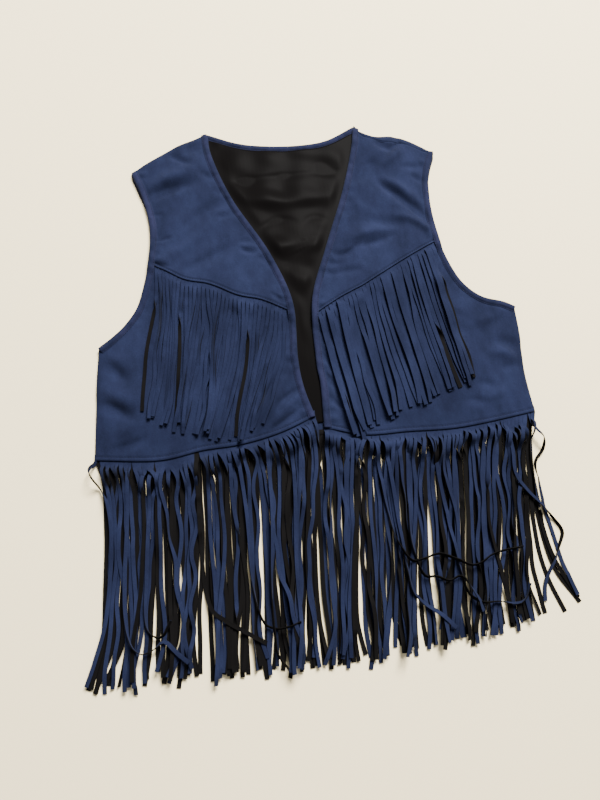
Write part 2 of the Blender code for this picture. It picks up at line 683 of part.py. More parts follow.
def back_fringe():
    """The fringe of the back's hem, which drops from its header to the table."""
    left = np.array([-SIDE_SEAM["left_x"][0], SIDE_SEAM["left_y"][0]])
    right = np.array([SIDE_SEAM["right_x"][0], SIDE_SEAM["right_y"][0]])
    columns, half, middle = fringe_frame(np.linspace(left, right, FINE), BACK_STRANDS)

    def header_height(x, y):
        return np.full_like(x, BACK_TOP + GAP)

    header = header_points(columns, HEADER_TUCK, HEADER_SHOWN, header_height)
    root = (columns[0::2] + columns[1::2]) / 2 - [0, HEADER_SHOWN]
    length = np.interp(middle, BACK_SWAY["across"], BACK_SWAY["length"]) + ripple("back end", middle)
    share = np.column_stack((BACK_DROP / length, np.tile((BACK_MIDDLE, FAR_SECTION, 1.0), (BACK_STRANDS, 1))))
    x = root[:, :1] + sway(BACK_SWAY, middle, share) + ripple("back drift", middle)[:, None] * share**BEND
    y = root[:, 1:] - length[:, None] * share
    z = level_of(BACK_STRANDS, GAP, FRINGE + GAP)[:, None] + np.zeros_like(x)
    strands = strand_sides(np.stack((x, y, z), axis=-1), half)
    fringe("hem_fringe_back", header, ordered_sides(strands, columns))


def clear_scene():
    """Remove every object of the open scene."""
    for thing in list(bpy.data.objects):
        bpy.data.objects.remove(thing, do_unlink=True)


def main():
    """Build the whole vest."""
    clear_scene()
    back_bindings(back_panel())
    back_lining()
    back_fringe()
    for side in SIDES:
        front_bindings(side, lower_front(side), yoke(side))
        chest_fringe(side)
        hem_fringe(side)


main()
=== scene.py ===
"""Western vest of navy microsuede with chest and hem fringe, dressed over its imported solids.

Every piece is cloth, worked out with numpy on the plan of the pattern pieces: +Y runs from the hem
to the neck along the centre back, +X to the right as seen from above, and the table is Z = 0.
Lengths are in millimetres until a mesh is made. Left and right are as seen from above.
"""
import math
from functools import partial

import bmesh
import bpy
import numpy as np
from bpy.props import FloatProperty, FloatVectorProperty, IntProperty, PointerProperty
from bpy.types import Operator, Panel, PropertyGroup
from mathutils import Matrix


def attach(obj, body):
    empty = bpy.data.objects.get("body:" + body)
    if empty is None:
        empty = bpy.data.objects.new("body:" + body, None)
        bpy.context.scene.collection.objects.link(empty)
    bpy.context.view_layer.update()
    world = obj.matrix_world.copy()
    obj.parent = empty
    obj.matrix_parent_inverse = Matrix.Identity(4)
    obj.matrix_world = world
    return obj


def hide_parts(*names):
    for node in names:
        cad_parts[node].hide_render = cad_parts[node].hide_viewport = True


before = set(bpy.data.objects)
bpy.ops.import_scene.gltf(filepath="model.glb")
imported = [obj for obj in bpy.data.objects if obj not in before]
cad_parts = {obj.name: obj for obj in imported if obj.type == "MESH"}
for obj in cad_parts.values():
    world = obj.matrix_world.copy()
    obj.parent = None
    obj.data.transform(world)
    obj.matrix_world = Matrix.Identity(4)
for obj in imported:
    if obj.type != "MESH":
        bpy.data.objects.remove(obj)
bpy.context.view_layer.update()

bl_info = {
    "name": "Fringed Western Vest",
    "version": (1, 0, 0),
    "blender": (4, 5, 0),
    "location": "View3D > Sidebar > Vest",
    "description": "Makes a microsuede vest with chest and hem fringe, laid flat on a table",
    "category": "Add Mesh",
}

MM = 0.001

# Levels over the table, in millimetres, as in the solids
GAP = 0.3
BACK_TOP = 1.2           # top of the back panel
LINING_TOP = 2.5
FRONT_LIFT = 3.8         # underside of the fronts
LAP_LIFT = 2.9           # how far the yokes ride over the chest fringe's header
LAP_SETTLES = (10.0, 55.0)
YOKE_LAP = 8.0
EDGE_INSET = 1.2         # from a binding's outer line to the panel's own edge
HEADER_TUCK = 7.0
SIDES = {"left": -1.0, "right": 1.0}
STEP = 0.5               # between two points of a curve that distances are taken from
AT_ONCE = 4000           # points whose distances are taken together
CELL = 0.8               # of the height map that strands are laid on

# Seeds of what is uneven; of two edges or two sides, the second's is one more
SEEDS = {"left front": 3, "right front": 4, "back": 8, "lining": 21, "swell": 31, "bound pucker": 41,
         "sewn pucker": 51, "neck": 61, "wrap": 77, "back armholes": 91, "shared locks": 77,
         "back strands": 1103, "hem strands": 2207, "chest strands": 3301}
BINDING_SEEDS = {"armhole": (77, 87), "front": (75, 85)}


def table(columns, *rows):
    """Return the rows as named columns."""
    return dict(zip(columns.split(), np.array(rows, dtype=float).T))


# Points that the outline passes through on each side: reach from the centre line, and height
OUTLINE_COLUMNS = "left_x left_y right_x right_y"

SIDE_SEAM = table(OUTLINE_COLUMNS,
                  (247.0, -129.0, 244.0, -127.5), (243.7, -75.0, 242.2, -80.0),
                  (241.7, -38.0, 246.5, -35.0), (238.5, -3.0, 248.0, 2.0))

ARMHOLE = table(OUTLINE_COLUMNS,
                (238.5, -3.0, 248.0, 2.0), (222.0, 9.0, 234.0, 9.8), (207.6, 22.0, 210.0, 18.5),
                (193.8, 41.0, 192.0, 36.0), (185.5, 64.0, 181.5, 58.0), (178.0, 94.0, 173.0, 90.0),
                (173.5, 126.0, 169.8, 125.0), (174.5, 157.0, 171.4, 160.0),
                (180.5, 186.0, 176.0, 190.0), (191.3, 218.4, 188.7, 220.4))

FRONT_EDGE = table(OUTLINE_COLUMNS,
                   (7.0, -106.0, 0.8, -120.0), (15.2, -72.0, 3.2, -72.0), (17.8, -38.0, 2.1, -40.0),
                   (15.8, 32.0, 6.9, 32.0), (35.4, 98.5, 32.0, 98.5), (71.8, 171.6, 62.5, 171.6),
                   (91.5, 232.0, 82.5, 232.0), (94.5, 267.8, 89.7, 266.5))

HEM = table(OUTLINE_COLUMNS,
            (247.0, -129.0, 244.0, -127.5), (180.0, -136.4, 180.0, -134.5),
            (132.0, -130.5, 140.0, -136.7), (90.0, -128.4, 92.0, -134.5),
            (48.0, -120.5, 45.0, -133.0), (7.0, -106.0, 0.8, -120.0))

YOKE_LINE = table(OUTLINE_COLUMNS,
                  (177.5, 96.5, 172.5, 96.5), (140.0, 71.5, 140.0, 81.0), (110.0, 62.0, 112.0, 66.5),
                  (79.0, 45.0, 74.0, 46.0), (50.0, 35.5, 38.0, 29.5), (16.5, 18.0, 3.9, 11.5))

SHOULDER = table(OUTLINE_COLUMNS,
                 (191.3, 218.4, 188.7, 218.4), (180.7, 224.7, 175.8, 221.6), (170.1, 230.8, 159.1, 229.3),
                 (158.9, 237.1, 143.5, 234.7), (147.7, 243.2, 126.3, 239.4), (134.7, 249.4, 113.7, 244.5),
                 (121.7, 255.5, 100.5, 249.5), (108.1, 261.7, 92.5, 260.5), (94.5, 267.8, 89.7, 264.5))

# The back's own shoulder, which shows past the right front's
BACK_SHOULDER = table(OUTLINE_COLUMNS,
                      (191.3, 218.4, 188.7, 220.4), (180.7, 224.9, 181.7, 224.8),
                      (170.1, 231.1, 172.3, 231.5), (158.9, 237.5, 161.4, 238.3),
                      (147.7, 243.7, 148.9, 244.4), (134.7, 249.8, 136.0, 248.8),
                      (121.7, 255.8, 115.2, 250.6), (108.1, 261.9, 98.4, 258.3),
                      (94.5, 267.8, 89.7, 266.5))

BACK_NECK = table("x y",
                  (-94.5, 267.8), (-57.8, 252.6), (-20.0, 246.0), (20.0, 244.6), (54.0, 249.4),
                  (89.7, 266.5))

# Broad soft rises of the fronts: centre, half length and half width, turn in degrees, and height
FOLDS = table("x y length width turn rise",
              (-128.0, 214.0, 34.0, 11.0, 24.0, 2.6), (-118.0, 160.0, 40.0, 13.0, 58.0, 2.2),
              (-205.0, -62.0, 30.0, 13.0, -18.0, 2.2), (-120.0, -70.0, 50.0, 26.0, 8.0, 1.8),
              (116.0, 158.0, 40.0, 13.0, -30.0, 2.6), (128.0, 216.0, 30.0, 11.0, -42.0, 2.4),
              (84.0, 112.0, 30.0, 11.0, 22.0, 2.0), (212.0, -52.0, 26.0, 13.0, 42.0, 2.2),
              (110.0, -66.0, 46.0, 26.0, 6.0, 1.8))

# Creases: start, middle and end, the half widths to the left and right of that way, and the rise,
# which is negative for a trough
CREASE_COLUMNS = "x1 y1 x2 y2 x3 y3 left right rise"

LEFT_CREASES = table(CREASE_COLUMNS,
                     (-174, 178, -150, 188, -113, 197, 8, 5, -3.4),
                     (-168, 193, -143, 206, -104, 211, 9, 7, 1.8),
                     (-144, 238, -131, 230, -119, 222, 6, 4, -2.2),
                     (-122, 240, -112, 246, -101, 251, 6, 5, -1.6),
                     (-108, 212, -100, 206, -93, 203, 5, 4, -1.7),
                     (-93, 149, -82, 150, -72, 153, 2.2, 2.0, -1.3),
                     (-100, 155, -89, 156, -78, 158, 4, 3, 1.0),
                     (-82, 167, -108, 158, -138, 130, 7, 7, -1.9),
                     (-90, 146, -124, 118, -162, 94, 8, 8, 1.8),
                     (-72, 114, -106, 96, -140, 80, 6, 6, -1.9),
                     (-75, 97, -91, 84, -108, 68, 8, 7, 1.2),
                     (-70, 105, -60, 100, -48, 101, 3, 2.2, -2.2),
                     (-71, 112, -63, 115, -53, 114, 2, 2, -1.3),
                     (-69, 109, -60, 108, -51, 108, 2.5, 2.5, 1.0),
                     (-48, 93, -42, 87, -38, 80, 2.5, 2.5, -1.5),
                     (-171, 157, -165, 158, -157, 158, 2.5, 2, -1.1),
                     (-169, 124, -159, 124, -147, 127, 2.5, 2, -1.3),
                     (-173, 92, -164, 91, -153, 87, 3, 2.5, -1.0),
                     (-41, 45, -34, 39, -27, 33, 2.5, 2.2, -1.4),
                     (-233, -24, -222, -33, -209, -46, 6, 5, -2.2),
                     (-228, -12, -215, -22, -203, -34, 8, 7, 1.3),
                     (-241, -71, -222, -77, -202, -91, 7, 5, -2.6),
                     (-236, -56, -218, -63, -200, -76, 9, 8, 1.5),
                     (-226, -120, -207, -117, -189, -109, 5, 5, -1.8),
                     (-228, -101, -208, -97, -190, -90, 8, 7, 1.0),
                     (-180, -112, -150, -96, -118, -100, 12, 12, -0.9),
                     (-72, -116, -54, -89, -28, -46, 7, 6, 2.2),
                     (-74, -90, -56, -71, -31, -43, 4, 5, -2.0),
                     (-60, -115, -39, -95, -20, -76, 5, 5, 1.5),
                     (-47, -90, -33, -79, -22, -73, 3, 3, -1.5),
                     (-62, -119, -38, -106, -17, -92, 3, 3, -1.2),
                     (-30, -40, -24, -30, -19, -16, 4, 3, 1.0),
                     (-36, -8, -29, 4, -20, 14, 4, 4, -1.2))

RIGHT_CREASES = table(CREASE_COLUMNS,
                      (112, 245, 122, 234, 130, 225, 6, 5, -2.2),
                      (130, 225, 138, 231, 147, 237, 4, 3, -1.6),
                      (147, 231, 133, 214, 109, 203, 6, 6, 1.6),
                      (112, 209, 94, 200, 77, 180, 9, 7, -2.4),
                      (139, 200, 154, 200, 169, 197, 5, 5, -1.4),
                      (152, 189, 159, 183, 168, 176, 4, 4, -1.4),
                      (107, 182, 134, 155, 164, 121, 6, 5, -3.8),
                      (111, 188, 137, 169, 164, 140, 6, 6, 2.0),
                      (120, 133, 150, 120, 165, 97, 6, 5, 2.4),
                      (66, 160, 82, 150, 98, 138, 6, 6, 0.7),
                      (64, 130, 104, 126, 132, 115, 8, 7, -1.8),
                      (39, 93, 54, 88, 71, 99, 3, 4, -2.4),
                      (67, 98, 92, 99, 119, 108, 5, 4, -1.8),
                      (57, 102, 84, 112, 121, 114, 6, 5, 1.8),
                      (29, 60, 52, 64, 71, 64, 5, 4, -1.4),
                      (33, 79, 40, 76, 48, 75, 2.5, 2.5, -1.2),
                      (24, 67, 32, 64, 40, 62, 2.5, 2.5, -1.2),
                      (206, -44, 226, -43, 246, -54, 7, 6, -2.2),
                      (202, -58, 220, -55, 234, -66, 6, 6, 1.8),
                      (212, -72, 224, -72, 236, -68, 5, 5, -1.2),
                      (200, -32, 216, -18, 232, -10, 5, 5, -1.4),
                      (194, -18, 206, -12, 218, -9, 5, 4, 1.0),
                      (184, -104, 200, -104, 212, -96, 6, 6, 1.2),
                      (182, -88, 192, -90, 202, -94, 5, 5, -1.0),
                      (160, -106, 176, -107, 190, -112, 5, 5, -1.0),
                      (9, -4, 15, -8, 23, -14, 3, 3, -1.5),
                      (9, -34, 14, -42, 20, -52, 3, 3, -1.5),
                      (8, -54, 13, -64, 20, -76, 3, 3, -1.7),
                      (12, -22, 17, -28, 24, -32, 3, 3, 0.9),
                      (10, -84, 16, -92, 24, -100, 3, 3, -1.3))

# The lining's folds in the V of the neck: each lit patch ends below in a crest
LINING_CREASES = table(CREASE_COLUMNS,
                       (-84, 197, -10, 202, 84, 203, 4, 7, -0.9),
                       (-84, 184, -14, 166, 70, 176, 15, 9, 3.0),
                       (-56, 118, -24, 141, 6, 132, 4, 6, -0.8),
                       (-40, 94, -14, 106, 10, 112, 15, 9, 2.8),
                       (8, 128, 24, 142, 48, 128, 4, 6, -0.8),
                       (2, 98, 22, 104, 40, 106, 13, 8, 2.4),
                       (-84, 236, -10, 230, 78, 234, 10, 14, 1.0))

# How far the strands' ends lie to the side of their roots, and the height where they end,
# across a fringe from its outer end (0) to its inner end (1)
CHEST_DRIFT = table("across left_x left_y right_x right_y",
                    (0.00, -17.0, -82.0, 20.0, -75.0), (0.20, -24.0, -101.0, 20.0, -92.0),
                    (0.50, -33.0, -113.0, 17.0, -107.0), (0.80, -42.0, -124.0, 14.0, -124.0),
                    (1.00, -41.0, -114.0, 16.0, -134.0))

# How far hem strands lie to the side of their roots, at shares of their length, across a fringe
# from its outer end (0) to its inner end (1)
SWAY_AT = np.array([0.0, 0.15, 0.5, 0.8, 1.0])
SWAY_COLUMNS = ("near", "middle", "far", "end")
HEM_SWAY = {
    "left": table("across near middle far end",
                  (0.0, 7.0, 4.5, -3.0, -20.0), (0.07, 6.0, 3.0, 0.0, -5.0),
                  (0.2, 3.0, -2.0, -8.0, -16.0),
                  (0.45, 4.0, 0.0, -6.0, -13.0), (0.7, 8.0, 4.0, -1.0, -5.0),
                  (0.85, 6.0, -6.0, -12.0, -14.0), (1.0, 2.0, -14.0, -21.0, -24.0)),
    "right": table("across near middle far end",
                   (0.0, -10.0, -20.0, -18.0, 7.0), (0.04, -10.0, -22.0, -22.0, -2.0),
                   (0.07, -10.0, -24.0, -33.0, -36.0), (0.3, -8.0, -20.0, -33.0, -42.0),
                   (0.6, -8.0, -17.0, -27.0, -33.0), (0.85, -6.0, -14.0, -22.0, -27.0),
                   (1.0, -2.0, -12.0, -19.0, -23.0)),
}

# How much of the header shows across each hem, as a share of the header's size
HEM_HEADER = table("across left right",
                   (0.0, 0.5, 1.4), (0.12, 0.8, 1.4), (0.2, 1.1, 0.9), (0.3, 1.5, 0.8),
                   (0.4, 1.3, 0.9), (0.5, 0.6, 1.0), (0.7, 0.5, 0.8), (0.85, 0.5, 0.6), (1.0, 0.4, 0.5))

# Share of the front hem strands that turn their black side up, across each fringe
HEM_BLACK = table("across left right",
                  (0.0, 0.22, 0.5), (0.4, 0.28, 0.48), (0.7, 0.34, 0.3), (1.0, 0.46, 0.26))

# Height where the front hem strands end, across each fringe
HEM_ENDS = table("across left right",
                 (0.0, -348.0, -334.0), (0.15, -353.0, -352.0), (0.4, -352.0, -354.0),
                 (0.7, -356.0, -356.0), (1.0, -360.0, -362.0))

# The back's hem fringe, across from left (0) to right (1), and the height where it ends
BACK_SWAY = table("across near middle far end height",
                  (0.0, 7.0, 4.5, -3.0, -18.0, -350.0), (0.15, 2.0, -3.0, -8.0, -14.0, -353.0),
                  (0.3, 0.0, -3.0, -8.0, -12.0, -355.0), (0.45, -2.0, -8.0, -14.0, -18.0, -359.0),
                  (0.6, -4.0, -12.0, -20.0, -25.0, -359.0), (0.75, -6.0, -15.0, -26.0, -32.0, -356.0),
                  (0.9, -8.0, -20.0, -32.0, -36.0, -350.0), (0.97, -10.0, -22.0, -32.0, -34.0, -344.0),
                  (1.0, -10.0, -20.0, -18.0, 6.0, -336.0))

# Strands that wander on their own, as points from root to end: plan, and roll in degrees
WANDERERS = {
    "wide loop at the right": table("x y roll",
                                    (204, -139, 0), (204, -165, 0), (202, -193, 10),
                                    (213, -213, 20), (225, -229, 40), (236, -245, 100),
                                    (244, -261, 115), (238, -274, 100), (228, -289, 40),
                                    (214, -311, 10), (209, -330, 0)),
    "small loop at the right corner": table("x y roll",
                                            (238, -137, 10), (237, -147, 30), (243, -158, 60),
                                            (243, -171, 115), (231, -185, 100), (228, -215, 30),
                                            (233, -255, 10), (238, -300, 0), (245, -328, 0)),
    "small loop at the left corner": table("x y roll",
                                           (-244, -137, 40), (-251, -139, 80), (-248, -149, 115),
                                           (-240, -164, 100), (-234, -178, 40), (-232, -215, 10),
                                           (-240, -285, 0), (-253, -325, 0), (-263, -349, 0)),
    "thin wave at the right": table("x y roll",
                                    (52, -146, 0), (55, -190, 30), (60, -245, 80), (71, -270, 115),
                                    (86, -271, 115), (103, -268, 115), (118, -275, 115),
                                    (138, -284, 115), (158, -276, 115), (174, -273, 115),
                                    (193, -272, 115)),
    "low thin wave at the right": table("x y roll",
                                        (90, -148, 0), (84, -190, 20), (76, -250, 60),
                                        (83, -286, 115), (95, -290, 115), (108, -296, 115),
                                        (121, -293, 115), (131, -308, 60), (138, -330, 20)),
    "bow at the right foot": table("x y roll",
                                   (118, -147, 0), (119, -200, 0), (121, -265, 30), (125, -305, 100),
                                   (136, -320, 115), (157, -323, 100), (174, -327, 60),
                                   (186, -323, 100), (193, -309, 60)),
    "long slant at the right": table("x y roll",
                                     (66, -146, 0), (66, -200, 0), (66, -250, 30), (67, -281, 60),
                                     (69, -301, 50), (79, -315, 40), (92, -326, 20), (107, -342, 0)),
    "sweep at the left foot": table("x y roll",
                                    (-214, -143, 0), (-216, -200, 0), (-221, -255, 20),
                                    (-222, -287, 50), (-219, -309, 80), (-210, -325, 100),
                                    (-198, -324, 100), (-186, -317, 40), (-175, -327, 10),
                                    (-163, -339, 0)),
    "hook at the left foot": table("x y roll",
                                   (-190, -146, 0), (-194, -200, 0), (-200, -260, 30),
                                   (-203, -299, 80), (-195, -312, 115), (-186, -311, 115),
                                   (-178, -298, 115)),
    "curl left of the middle": table("x y roll",
                                     (-140, -142, 180), (-142, -200, 180), (-143, -262, 180),
                                     (-138, -291, 170), (-126, -304, 180), (-107, -318, 180),
                                     (-86, -332, 180)),
    "thin wave in the middle": table("x y roll",
                                     (-96, -140, 0), (-93, -200, 20), (-94, -270, 60),
                                     (-88, -309, 115), (-77, -319, 115), (-64, -319, 115),
                                     (-50, -315, 115)),
    "thin hook in the middle": table("x y roll",
                                     (-60, -134, 0), (-66, -200, 20), (-74, -270, 60),
                                     (-77, -304, 115), (-77, -330, 115), (-76, -344, 115),
                                     (-67, -358, 115)),
}


def linear(colour):
    """Turn an sRGB hex colour to linear red, green, blue and alpha."""
    parts = [int(colour[i:i + 2], 16) / 255 for i in (1, 3, 5)]
    return [p / 12.92 if p <= 0.04045 else ((p + 0.055) / 1.055) ** 2.4 for p in parts] + [1.0]


def length(name, description, default, low, high):
    """Return a length property, with its default and its limits in millimetres."""
    return FloatProperty(name=name, description=description, default=default * MM, min=low * MM,
                         max=high * MM, subtype="DISTANCE", unit="LENGTH")


def tint(name, description, default):
    """Return a colour property, with its default as a hex colour."""
    return FloatVectorProperty(name=name, description=description, default=linear(default), size=4,
                               min=0, max=1, subtype="COLOR")


class VestSizes(PropertyGroup):
    """Sizes of the cloth and its fringe."""

    suede: length("Suede", "Thickness of the microsuede", 1.2, 0.5, 3)
    lining: length("Lining", "Thickness of the satin lining", 1.0, 0.3, 2)
    binding: length("Binding width", "How far a binding reaches in over an edge", 8.0, 4, 14)
    strand: length("Strand thickness", "Thickness of a fringe strand", 0.8, 0.4, 1.5)
    header: length("Header", "Part of a fringe header that shows before the slits", 8.0, 2, 16)
    stitch: length("Stitch", "Length of one stitch", 2.2, 1, 5)
    pitch: length("Stitch pitch", "From one stitch to the next", 3.0, 1.2, 7)
    chest_strands: IntProperty(name="Chest strands", description="Strands in one chest fringe",
                               default=33, min=4, max=80)
    hem_strands: IntProperty(name="Hem strands", description="Strands in one front's hem fringe",
                             default=51, min=4, max=120)
    back_strands: IntProperty(name="Back strands", description="Strands in the back's hem fringe",
                              default=103, min=4, max=240)


class VestColours(PropertyGroup):
    """Colours of the cloth."""

    suede: tint("Suede", "Lit nap of the microsuede", "#191e33")
    shade: tint("Suede, brushed", "Nap of the microsuede brushed dark", "#111526")
    binding: tint("Binding", "The bindings, a little more violet", "#1c1e33")
    reverse: tint("Reverse", "Knitted black back of the microsuede", "#090808")
    lining: tint("Lining", "Black satin", "#090808")
    thread: tint("Thread", "Sewing thread", "#0c0f1e")
    floor: tint("Table", "Pale table under the vest", "#ecdcb2")


def size(name):
    """Return a size of the panel, in millimetres."""
    return getattr(bpy.context.scene.vest_sizes, name) / MM


def count_of(name):
    """Return a number of strands."""
    return getattr(bpy.context.scene.vest_sizes, name)


def colour(name):
    """Return a colour of the panel."""
    return getattr(bpy.context.scene.vest_colours, name)[:]


# Curves and plans

def smooth_curve(points, steps=16):
    """Return a Catmull-Rom curve: between two points a cubic whose end slopes are half the chord
    from the point before to the point after."""
    points = np.asarray(points, dtype=float)
    before = np.vstack((2 * points[0] - points[1], points[:-1]))[:, None]
    after = np.vstack((points[1:], 2 * points[-1] - points[-2]))[:, None]
    start, end = points[:-1, None], points[1:, None]
    leave, arrive = (after[:-1] - before[:-1]) / 2, (after[1:] - before[1:]) / 2
    t = np.linspace(0, 1, steps, endpoint=False)[None, :, None]
    body = ((2 * t**3 - 3 * t**2 + 1) * start + (t**3 - 2 * t**2 + t) * leave
            + (3 * t**2 - 2 * t**3) * end + (t**3 - t**2) * arrive)
    return np.vstack((body.reshape(-1, points.shape[1]), points[-1:]))


def lengths(curve):
    """Return the length travelled at each point of a curve."""
    return np.concatenate(([0.0], np.cumsum(np.linalg.norm(np.diff(curve, axis=0), axis=1))))


def along(curve, shares):
    """Return the points at these shares of the curve's length."""
    travelled = lengths(curve)
    wanted = np.asarray(shares) * travelled[-1]
    return np.column_stack([np.interp(wanted, travelled, axis) for axis in curve.T])


def stretch(curve, first=0.0, last=1.0, step=STEP):
    """Return the part of a curve between two shares of its length, with a point every step."""
    count = max(2, int(round(lengths(curve)[-1] * abs(last - first) / step)) + 1)
    return along(curve, np.linspace(first, last, count))


def share_at(curve, point):
    """Return the share of the curve's length at its point nearest to this one."""
    travelled = lengths(curve)
    return travelled[np.argmin(np.linalg.norm(curve - point, axis=1))] / travelled[-1]


def normals(curve, inward):
    """Return unit normals of a plan curve: its tangent turned by a right angle, to the left if
    inward is 1 and to the right if it is -1."""
    run = np.gradient(curve, axis=0)
    run /= np.linalg.norm(run, axis=1)[:, None]
    return inward * np.column_stack((-run[:, 1], run[:, 0]))


def between(curve, start, end):
    """Ease a curve so that its ends meet two points."""
    share = (lengths(curve) / lengths(curve)[-1])[:, None]
    return curve + (1 - share) * (start - curve[0]) + share * (end - curve[-1])


def chain(curves, breaks, shares):
    """Return points at shares of an edge made of several curves that join at the breaks."""
    points = np.zeros((len(shares), 2))
    for curve, first, last in zip(curves, breaks[:-1], breaks[1:]):
        here = (shares >= first) & (shares <= last)
        points[here] = along(curve, (shares[here] - first) / (last - first))
    return points


def patch(bottom, outer, top, inner, across, up):
    """Fill four edges with a Coons patch: the sum of the two ruled surfaces between opposite
    edges, less the bilinear surface through the corners."""
    u, v = across[:, None, None], up[None, :, None]
    corners = ((1 - u) * (1 - v) * bottom[0] + u * (1 - v) * bottom[-1]
               + (1 - u) * v * top[0] + u * v * top[-1])
    return (1 - v) * bottom[:, None] + v * top[:, None] + (1 - u) * outer[None] + u * inner[None] - corners


def ramp(value, low, high):
    """Rise smoothly from 0 at low to 1 at high: 3 t^2 - 2 t^3."""
    t = np.clip((value - low) / (high - low), 0, 1)
    return t * t * (3 - 2 * t)


def edge(rows, side):
    """Return one side's outline curve from a table of its points."""
    return smooth_curve(np.column_stack((SIDES[side] * rows[side + "_x"], rows[side + "_y"])))


def neck_line():
    """Return the back's neck, from left to right."""
    return smooth_curve(np.column_stack((BACK_NECK["x"], BACK_NECK["y"])))


def level_at(height):
    """Return a function of the plan that gives this height everywhere."""
    return lambda x, y: np.full(np.shape(x), height)


def height_on(curve, x):
    """Return how high up the plan a curve lies at each x."""
    order = np.argsort(curve[:, 0])
    return np.interp(x, curve[order, 0], curve[order, 1])


def nearest(curve, x, y):
    """Return each point's distance from a plan curve, and how far along the curve it lies: the
    point's offset from the nearest curve point, split along and across the curve's tangent."""
    curve = stretch(curve)
    travelled = lengths(curve)
    run = -normals(curve, 1)[:, ::-1] * [-1, 1]
    points = np.column_stack((np.ravel(x), np.ravel(y)))
    away, arc = [], []
    for part in np.array_split(points, len(points) // AT_ONCE + 1):
        gaps = np.hypot(part[:, :1] - curve[:, 0], part[:, 1:] - curve[:, 1])
        close = gaps.argmin(axis=1)
        offset = part - curve[close]
        ahead = np.sum(offset * run[close], axis=1)
        half = STEP / 2
        beyond = ahead - np.clip(ahead, -half, half)
        aside = np.sqrt(np.maximum(np.sum(offset * offset, axis=1) - ahead**2, 0))
        away.append(np.hypot(aside, beyond))
        arc.append(travelled[close] + ahead - beyond)
    return np.concatenate(away).reshape(np.shape(x)), np.concatenate(arc).reshape(np.shape(x))


def waves(x, y, seed, wavelength, number=14):
    """Return a smooth unevenness of about unit size: the sum of plane sine waves in seeded
    directions, with lengths from 0.7 to 1.5 times the one given, over the root of their number."""
    chance = np.random.default_rng(seed)
    turn = chance.uniform(0, 2 * np.pi, number)
    pitch = 2 * np.pi / (wavelength * chance.uniform(0.7, 1.5, number))
    start = chance.uniform(0, 2 * np.pi, number)
    total = np.zeros(np.shape(x))
    for angle, rate, phase in zip(turn, pitch, start):
        total += np.sin(rate * (np.cos(angle) * x + np.sin(angle) * y) + phase)
    return total * np.sqrt(2 / number)


def flutter(along_it, seed, wavelength):
    """Return a smooth unevenness of about unit size along a line."""
    return waves(along_it, np.zeros_like(along_it), seed, wavelength, 8)


# The form of the fronts

def fold_rise(x, y):
    """Return the lift of the broad folds: turned Gaussian mounds, added together."""
    total = np.zeros_like(x)
    for centre_x, centre_y, length, width, degrees, rise in zip(*FOLDS.values()):
        turn = np.radians(degrees)
        run = (x - centre_x) * np.cos(turn) + (y - centre_y) * np.sin(turn)
        aside = (y - centre_y) * np.cos(turn) - (x - centre_x) * np.sin(turn)
        total += rise * np.exp(-0.5 * ((run / length) ** 2 + (aside / width) ** 2))
    return total


def crease_rise(rows, x, y):
    """Return the lift of the creases, added together. Each follows the parabola through its three
    points. At a distance d from it the lift is rise * exp(-(d / width)^2), with a width for each
    side, times a sine that fades it out towards both ends; the largest over the parabola counts."""
    total = np.zeros_like(x)
    for x1, y1, x2, y2, x3, y3, left, right, rise in zip(*rows.values()):
        t = np.linspace(0.02, 0.98, 8 + int(np.hypot(x3 - x1, y3 - y1) / (0.5 * min(left, right))))
        through = np.stack(((1 - t) * (1 - 2 * t), 4 * t * (1 - t), t * (2 * t - 1)))
        fade = np.sin(np.pi * t) ** 0.8
        line = np.array(((x1, y1), (x2, y2), (x3, y3))).T @ through
        reach = 2.6 * max(left, right)
        low, high = line.min(axis=1) - reach, line.max(axis=1) + reach
        here = (x > low[0]) & (x < high[0]) & (y > low[1]) & (y < high[1])
        dx, dy = x[here][:, None] - line[0], y[here][:, None] - line[1]
        run = np.gradient(line, axis=1)
        width = np.where(run[0] * dy - run[1] * dx > 0, left, right)
        total[here] += rise * (fade * np.exp(-(dx**2 + dy**2) / width**2)).max(axis=1)
    return total


CREASES = {"left": LEFT_CREASES, "right": RIGHT_CREASES}
CREASE_GAIN = 1.7        # the creases' rises are read off the shading, which flattens them
CLEAR_OF_LINING = LINING_TOP + GAP
LANDING = 0.45           # how softly a front comes down on the lining
# Puckers along an edge: how far in they lie and their half width, their height and wavelength
BOUND_PUCKER = (3.0, 5.0, 0.6, 11.0)
SEWN_PUCKER = (8.0, 5.0, 0.16, 14.0)
SWELL_LENGTH = 60.0      # over which the puckers beside a binding come and go
BINDING_GROOVE = (0.8, 1.8, 0.4)    # past the binding: place, half width and depth
BELLY = 1.9
BELLY_GROWS = (5.0, 34.0)           # from the sewn edges
# The fronts' unevenness: height and wavelength, long and short
UNEVEN = ((0.42, 46.0), (0.13, 17.0))
UNEVEN_GROWS = (6.0, 20.0)


